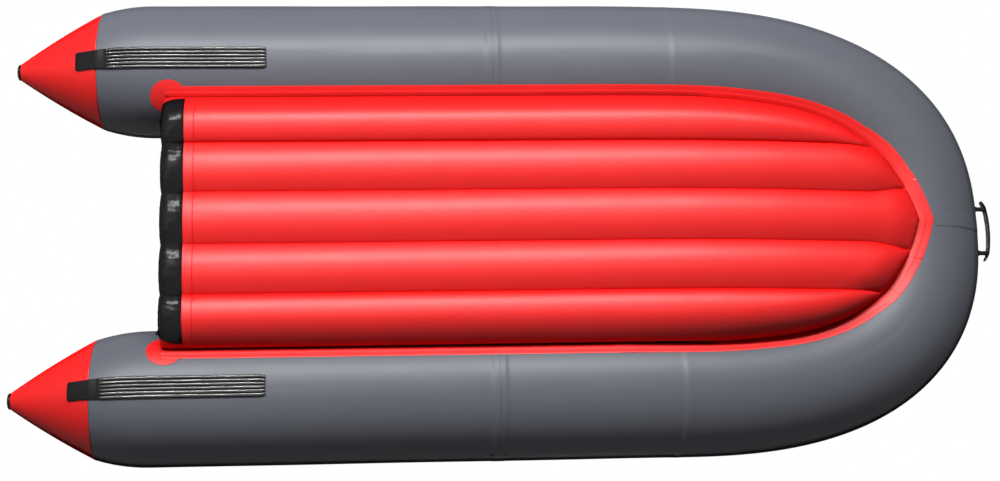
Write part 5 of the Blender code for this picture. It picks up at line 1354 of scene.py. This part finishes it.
class BoatSizes(PropertyGroup):
    """Sizes of the boat's fabric and rubber"""

    straight_length: length("Straight length", "Tube's straight part, from the cone forward", 1.893)
    bow_squareness: ratio("Bow squareness", "Power of the bow's superellipse; 2 is round", 2.6)
    sheer_lead: length("Sheer lead", "How far before the curve the tube starts to rise", 0.253)
    shoulder_length: length("Shoulder", "Stretch over which the tube narrows to the cone", 0.170)
    cone_bulge: length("Cone bulge", "How far the cone swells at half its length", 0.006)
    valley_below_tube: length("Crease depth", "How far the creases lie below the tubes", 0.012)
    lobe_depth: length("Chamber depth", "How far a chamber swells below its creases", 0.027)
    deck_lobe: length("Deck depth", "How far a chamber swells into the cockpit", 0.020)
    crest_share: ratio("Crest share", "Flat share of a chamber's width", 0.02)
    outer_skew: ratio("Outer skew", "How far the outer chambers' crests lie inwards", 0.8)
    crease_flare: ratio("Crease flare", "How far the inner creases spread at the bow", 0.28)
    crease_flare_length: length("Flare length", "Stretch over which the creases spread", 0.200)
    centre_chamber: length("Centre chamber", "Width of the middle chamber", 0.1714)
    next_chamber: length("Next chambers", "Width of the two chambers beside it", 0.1637)
    floor_thickness: length("Floor thickness", "Height between the two sheets' creases", 0.075)
    floor_rise: length("Floor rise", "How far the floor rises to the bow", 0.118)
    floor_rise_lead: length("Rise lead", "How far before the curve the floor rises", 0.143)
    floor_tape_lap: length("Tape lap", "How far the sheet's edge laps over the tape", 0.003)
    bottom_edge_room: length("Bottom edge room", "From the tube to the bottom sheet's edge", 0.005)
    deck_edge_press: length("Deck edge press", "How far the deck's edge presses in", 0.0020)
    sheet_set_in: length("Sheet set in", "From the floor's aft end to the sheets' ends", 0.010)
    roll_width: length("Roll width", "Stretch over which the bottom rolls up", 0.100)
    deck_roll_width: length("Deck roll width", "Stretch over which the deck rolls down", 0.055)
    aft_taper_length: length("Aft taper", "Stretch over which the chambers fill out", 0.120)
    aft_depth_share: ratio("Aft depth", "Chambers' depth at the aft end", 0.45)
    floor_seam_x: length("Aft seam", "Place of the first lap behind the wear band", 0.327)
    band_length: length("Band length", "How far the wear band reaches under the floor", 0.070)
    band_over_length: length("Band over", "How far the wear band reaches over the deck", 0.020)
    band_thickness: length("Band thickness", "Thickness of the wear band", 0.0013)
    band_bulge: length("Band bulge", "How far the band swells aft over a chamber", 0.005)
    band_room: length("Band room", "From the floor to the band", 0.0020)
    band_side_room: length("Band side room", "From the floor's edge to the band's end", 0.010)
    band_slant: length("Band slant", "How far the band's ends are trimmed", 0.026)
    tape_angle: degrees("Tape angle", "Tape's outer edge round the tube at the stern", 28.6)
    tape_bow_angle: degrees("Tape bow angle", "Tape's outer edge round the tube at the bow", -2.0)
    tape_width: length("Tape width", "Width of the gluing tape", 0.041)
    tape_bow_width: length("Tape bow width", "Width of the gluing tape at the bow", 0.053)
    tape_ply: length("Tape ply", "Thickness of one ply of tape", 0.0012)
    patch_angle: degrees("Patch angle", "Patch's middle round the tube", 38.0)
    strake_step: length("Strake step", "Where the strake's ribs begin", 0.038)
    strake_width: length("Strake width", "Width of a strake", 0.070)
    strake_angle: degrees("Strake angle", "Strake's middle round the tube", 4.0)
    strake_base: length("Strake base", "Thickness between a strake's ribs", 0.005)
    strake_rib: length("Strake rib", "Height of a strake's ribs", 0.0028)
    handle_bend: length("Handle bend", "How far the grip bows towards its ends", 0.014)
    handle_curl: length("Handle curl", "How far the grip's ends curl in", 0.008)
    handle_thickness: length("Handle thickness", "Thickness of the grip band", 0.008)
    handle_leg: length("Handle leg", "Thickness of the grip's legs", 0.014)


class BoatColours(PropertyGroup):
    """Colours of the boat's materials"""

    grey: paint("Grey fabric", "Fabric of the tubes and deck", 0.083, 0.088, 0.106)
    red: paint("Red fabric", "Fabric of the cones, bottom and tapes", 0.660, 0.0085, 0.0085)
    black: paint("Black rubber", "Strakes, handle and wear band", 0.0035, 0.0030, 0.0035)
    black_plastic: paint("Black plastic", "Valves, seat shoes and pads", 0.018, 0.018, 0.019)
    grey_plastic: paint("Grey plastic", "Valve buttons", 0.55, 0.55, 0.53)
    transom_wood: paint("Transom wood", "Plywood of the transom", 0.34, 0.19, 0.09)
    seat_wood: paint("Seat wood", "Plywood of the benches", 0.46, 0.29, 0.14)
    horn_metal: paint("Horn metal", "Steel of the rowlock horns", 0.60, 0.61, 0.63)
    floor: paint("Stage floor", "Pale paint under the boat", 0.86, 0.86, 0.86)


class BoatStage(PropertyGroup):
    """Light and floor of the studio"""

    ambient: ratio("Ambient light", "Even light from all round", 0.04, 2.0)
    floor_size: length("Floor size", "Width of the stage floor", 12.0)
    clear_from: length("Clear from", "How far out the floor starts to clear", 2.2)
    clear_at: length("Clear at", "How far out the floor is clear", 5.2)


class BOAT_OT_tubes(Operator):
    """Build the four air chambers of the two tubes, and their baffles"""

    bl_idname = "boat.tubes"
    bl_label = "Tubes"
    bl_options = {"REGISTER", "UNDO"}

    def execute(self, context):
        hull = Hull(context.scene.boat_sizes)
        for side_name, side in SIDES.items():
            tube(hull, f"tube_{side_name}_aft", side, 0.0, BULKHEAD_X - SKIN_GAP, grey(context))
            tube(hull, f"tube_{side_name}_bow", side, BULKHEAD_X + SKIN_GAP, hull.end,
                 grey(context))
            baffle(side_name, side, grey(context))
        return {"FINISHED"}


class BOAT_OT_cones(Operator):
    """Build the stern cones and their rubber caps"""

    bl_idname = "boat.cones"
    bl_label = "Stern cones"
    bl_options = {"REGISTER", "UNDO"}

    def execute(self, context):
        hull = Hull(context.scene.boat_sizes)
        for side_name, side in SIDES.items():
            cone(hull, side_name, side, red(context))
            cone_cap(side_name, side, black(context))
        return {"FINISHED"}


class BOAT_OT_strakes(Operator):
    """Build the ribbed strakes under the stern"""

    bl_idname = "boat.strakes"
    bl_label = "Strakes"
    bl_options = {"REGISTER", "UNDO"}

    def execute(self, context):
        hull = Hull(context.scene.boat_sizes)
        ribbed = rubber("strake_rubber", context.scene.boat_colours.black, 0.17, 1.25,
                        matt_before=ORIGIN[0] + hull.sizes.strake_step)
        for side_name, side in SIDES.items():
            strake(hull, side_name, side, ribbed)
        return {"FINISHED"}


class BOAT_OT_air_floor(Operator):
    """Build the air floor's sheets, webs, wear band and corners"""

    bl_idname = "boat.air_floor"
    bl_label = "Air floor"
    bl_options = {"REGISTER", "UNDO"}

    def execute(self, context):
        hull = Hull(context.scene.boat_sizes)
        floor_bottom(hull, red(context))
        floor_deck(hull, grey(context))
        film = rubber("wear_film", context.scene.boat_colours.black, 0.22, 0.17, 300.0)
        floor_band(hull, film)
        for name in nodes_like("floor_web"):
            floor_web(hull, name, red(context))
        for side_name, side in SIDES.items():
            floor_corner(hull, side_name, side, red(context))
        return {"FINISHED"}


class BOAT_OT_tapes(Operator):
    """Build the gluing tapes, the patches and the bow's seam tape"""

    bl_idname = "boat.tapes"
    bl_label = "Tapes and patches"
    bl_options = {"REGISTER", "UNDO"}

    def execute(self, context):
        hull = Hull(context.scene.boat_sizes)
        for side_name, side in SIDES.items():
            tape_patch(hull, side_name, side, red(context))
            floor_tape(hull, side_name, side, red(context))
        bow_seam_tape(hull, grey(context))
        return {"FINISHED"}


class BOAT_OT_handle(Operator):
    """Build the bow handle and finish its pads"""

    bl_idname = "boat.handle"
    bl_label = "Bow handle"
    bl_options = {"REGISTER", "UNDO"}

    def execute(self, context):
        handle_band(Hull(context.scene.boat_sizes), black(context))
        dress(nodes_like("bow_handle_pad"), black(context))
        return {"FINISHED"}


class BOAT_OT_transom(Operator):
    """Finish the transom, its pads, holders and drain"""

    bl_idname = "boat.transom"
    bl_label = "Transom"
    bl_options = {"REGISTER", "UNDO"}

    def execute(self, context):
        wood = plywood("transom_wood", context.scene.boat_colours.transom_wood,
                       (0.0, TRANSOM_LEAN, 0.0), 0, TRANSOM_THICKNESS, TRANSOM_AFT_FACE)
        dress(["transom_board"], wood)
        dress(nodes_like("transom_holder", "drain_plug"), black(context))
        dress(nodes_like("motor_pad", "drain_tube"), black_moulding(context))
        return {"FINISHED"}


class BOAT_OT_seats(Operator):
    """Finish the benches, their shoes and rails"""

    bl_idname = "boat.seats"
    bl_label = "Seats"
    bl_options = {"REGISTER", "UNDO"}

    def execute(self, context):
        low, high = node_box("seat_aft_board")
        wood = plywood("seat_wood", context.scene.boat_colours.seat_wood, (0.0, 0.0, 0.0), 2,
                       high[2] - low[2], low[2])
        dress(["seat_aft_board", "seat_forward_board"], wood)
        dress(nodes_like("seat_aft_shoe", "seat_forward_shoe"), black_moulding(context))
        dress(nodes_like("seat_rail"), black(context))
        return {"FINISHED"}


class BOAT_OT_fittings(Operator):
    """Finish the rowlocks and the valves"""

    bl_idname = "boat.fittings"
    bl_label = "Rowlocks and valves"
    bl_options = {"REGISTER", "UNDO"}

    def execute(self, context):
        colours = context.scene.boat_colours
        dress(nodes_like("rowlock_base"), black(context))
        dress(nodes_like("rowlock_horn"), bright_metal("horn_metal", colours.horn_metal))
        dress(nodes_like("valve_body", "valve_cap"), black_moulding(context))
        dress(nodes_like("valve_button"), plastic("grey_plastic", colours.grey_plastic))
        return {"FINISHED"}


class BOAT_OT_stage(Operator):
    """Set the floor, the lamps, the background and the camera"""

    bl_idname = "boat.stage"
    bl_label = "Stage"
    bl_options = {"REGISTER", "UNDO"}

    def execute(self, context):
        studio_floor(context)
        studio_world(context.scene.boat_stage.ambient)
        middle = ORIGIN + LAMP_AIM
        for name, place_at, width, height, power in LAMPS:
            lamp(name, Vector(place_at) + Vector(middle), middle, width, height, power)
        studio_camera()
        context.scene.view_settings.view_transform = "Standard"
        return {"FINISHED"}


OPERATORS = (BOAT_OT_stage, BOAT_OT_tubes, BOAT_OT_cones, BOAT_OT_strakes, BOAT_OT_air_floor,
             BOAT_OT_tapes, BOAT_OT_handle, BOAT_OT_transom, BOAT_OT_seats, BOAT_OT_fittings)


class BOAT_PT_panel(Panel):
    """Lists the boat's groups of pieces"""

    bl_idname = "BOAT_PT_panel"
    bl_label = "Inflatable Boat"
    bl_space_type = "VIEW_3D"
    bl_region_type = "UI"
    bl_category = "Boat"

    def draw(self, context):
        for operator in OPERATORS:
            self.layout.operator(operator.bl_idname)
        for group in (context.scene.boat_colours, context.scene.boat_sizes,
                      context.scene.boat_stage):
            box = self.layout.box()
            for name in group.bl_rna.properties.keys():
                if name not in ("rna_type", "name"):
                    box.prop(group, name)


CLASSES = (BoatSizes, BoatColours, BoatStage, *OPERATORS, BOAT_PT_panel)


def register():
    """Registers the classes and hangs their settings on the scene."""
    for each in CLASSES:
        bpy.utils.register_class(each)
    bpy.types.Scene.boat_sizes = PointerProperty(type=BoatSizes)
    bpy.types.Scene.boat_colours = PointerProperty(type=BoatColours)
    bpy.types.Scene.boat_stage = PointerProperty(type=BoatStage)


def unregister():
    """Takes the settings and the classes away again."""
    del bpy.types.Scene.boat_sizes, bpy.types.Scene.boat_colours, bpy.types.Scene.boat_stage
    for each in reversed(CLASSES):
        bpy.utils.unregister_class(each)


def main():
    """Builds the stage and every piece in order."""
    register()
    for operator in OPERATORS:
        group, name = operator.bl_idname.split(".")
        getattr(getattr(bpy.ops, group), name)()


if __name__ == "__main__":
    main()
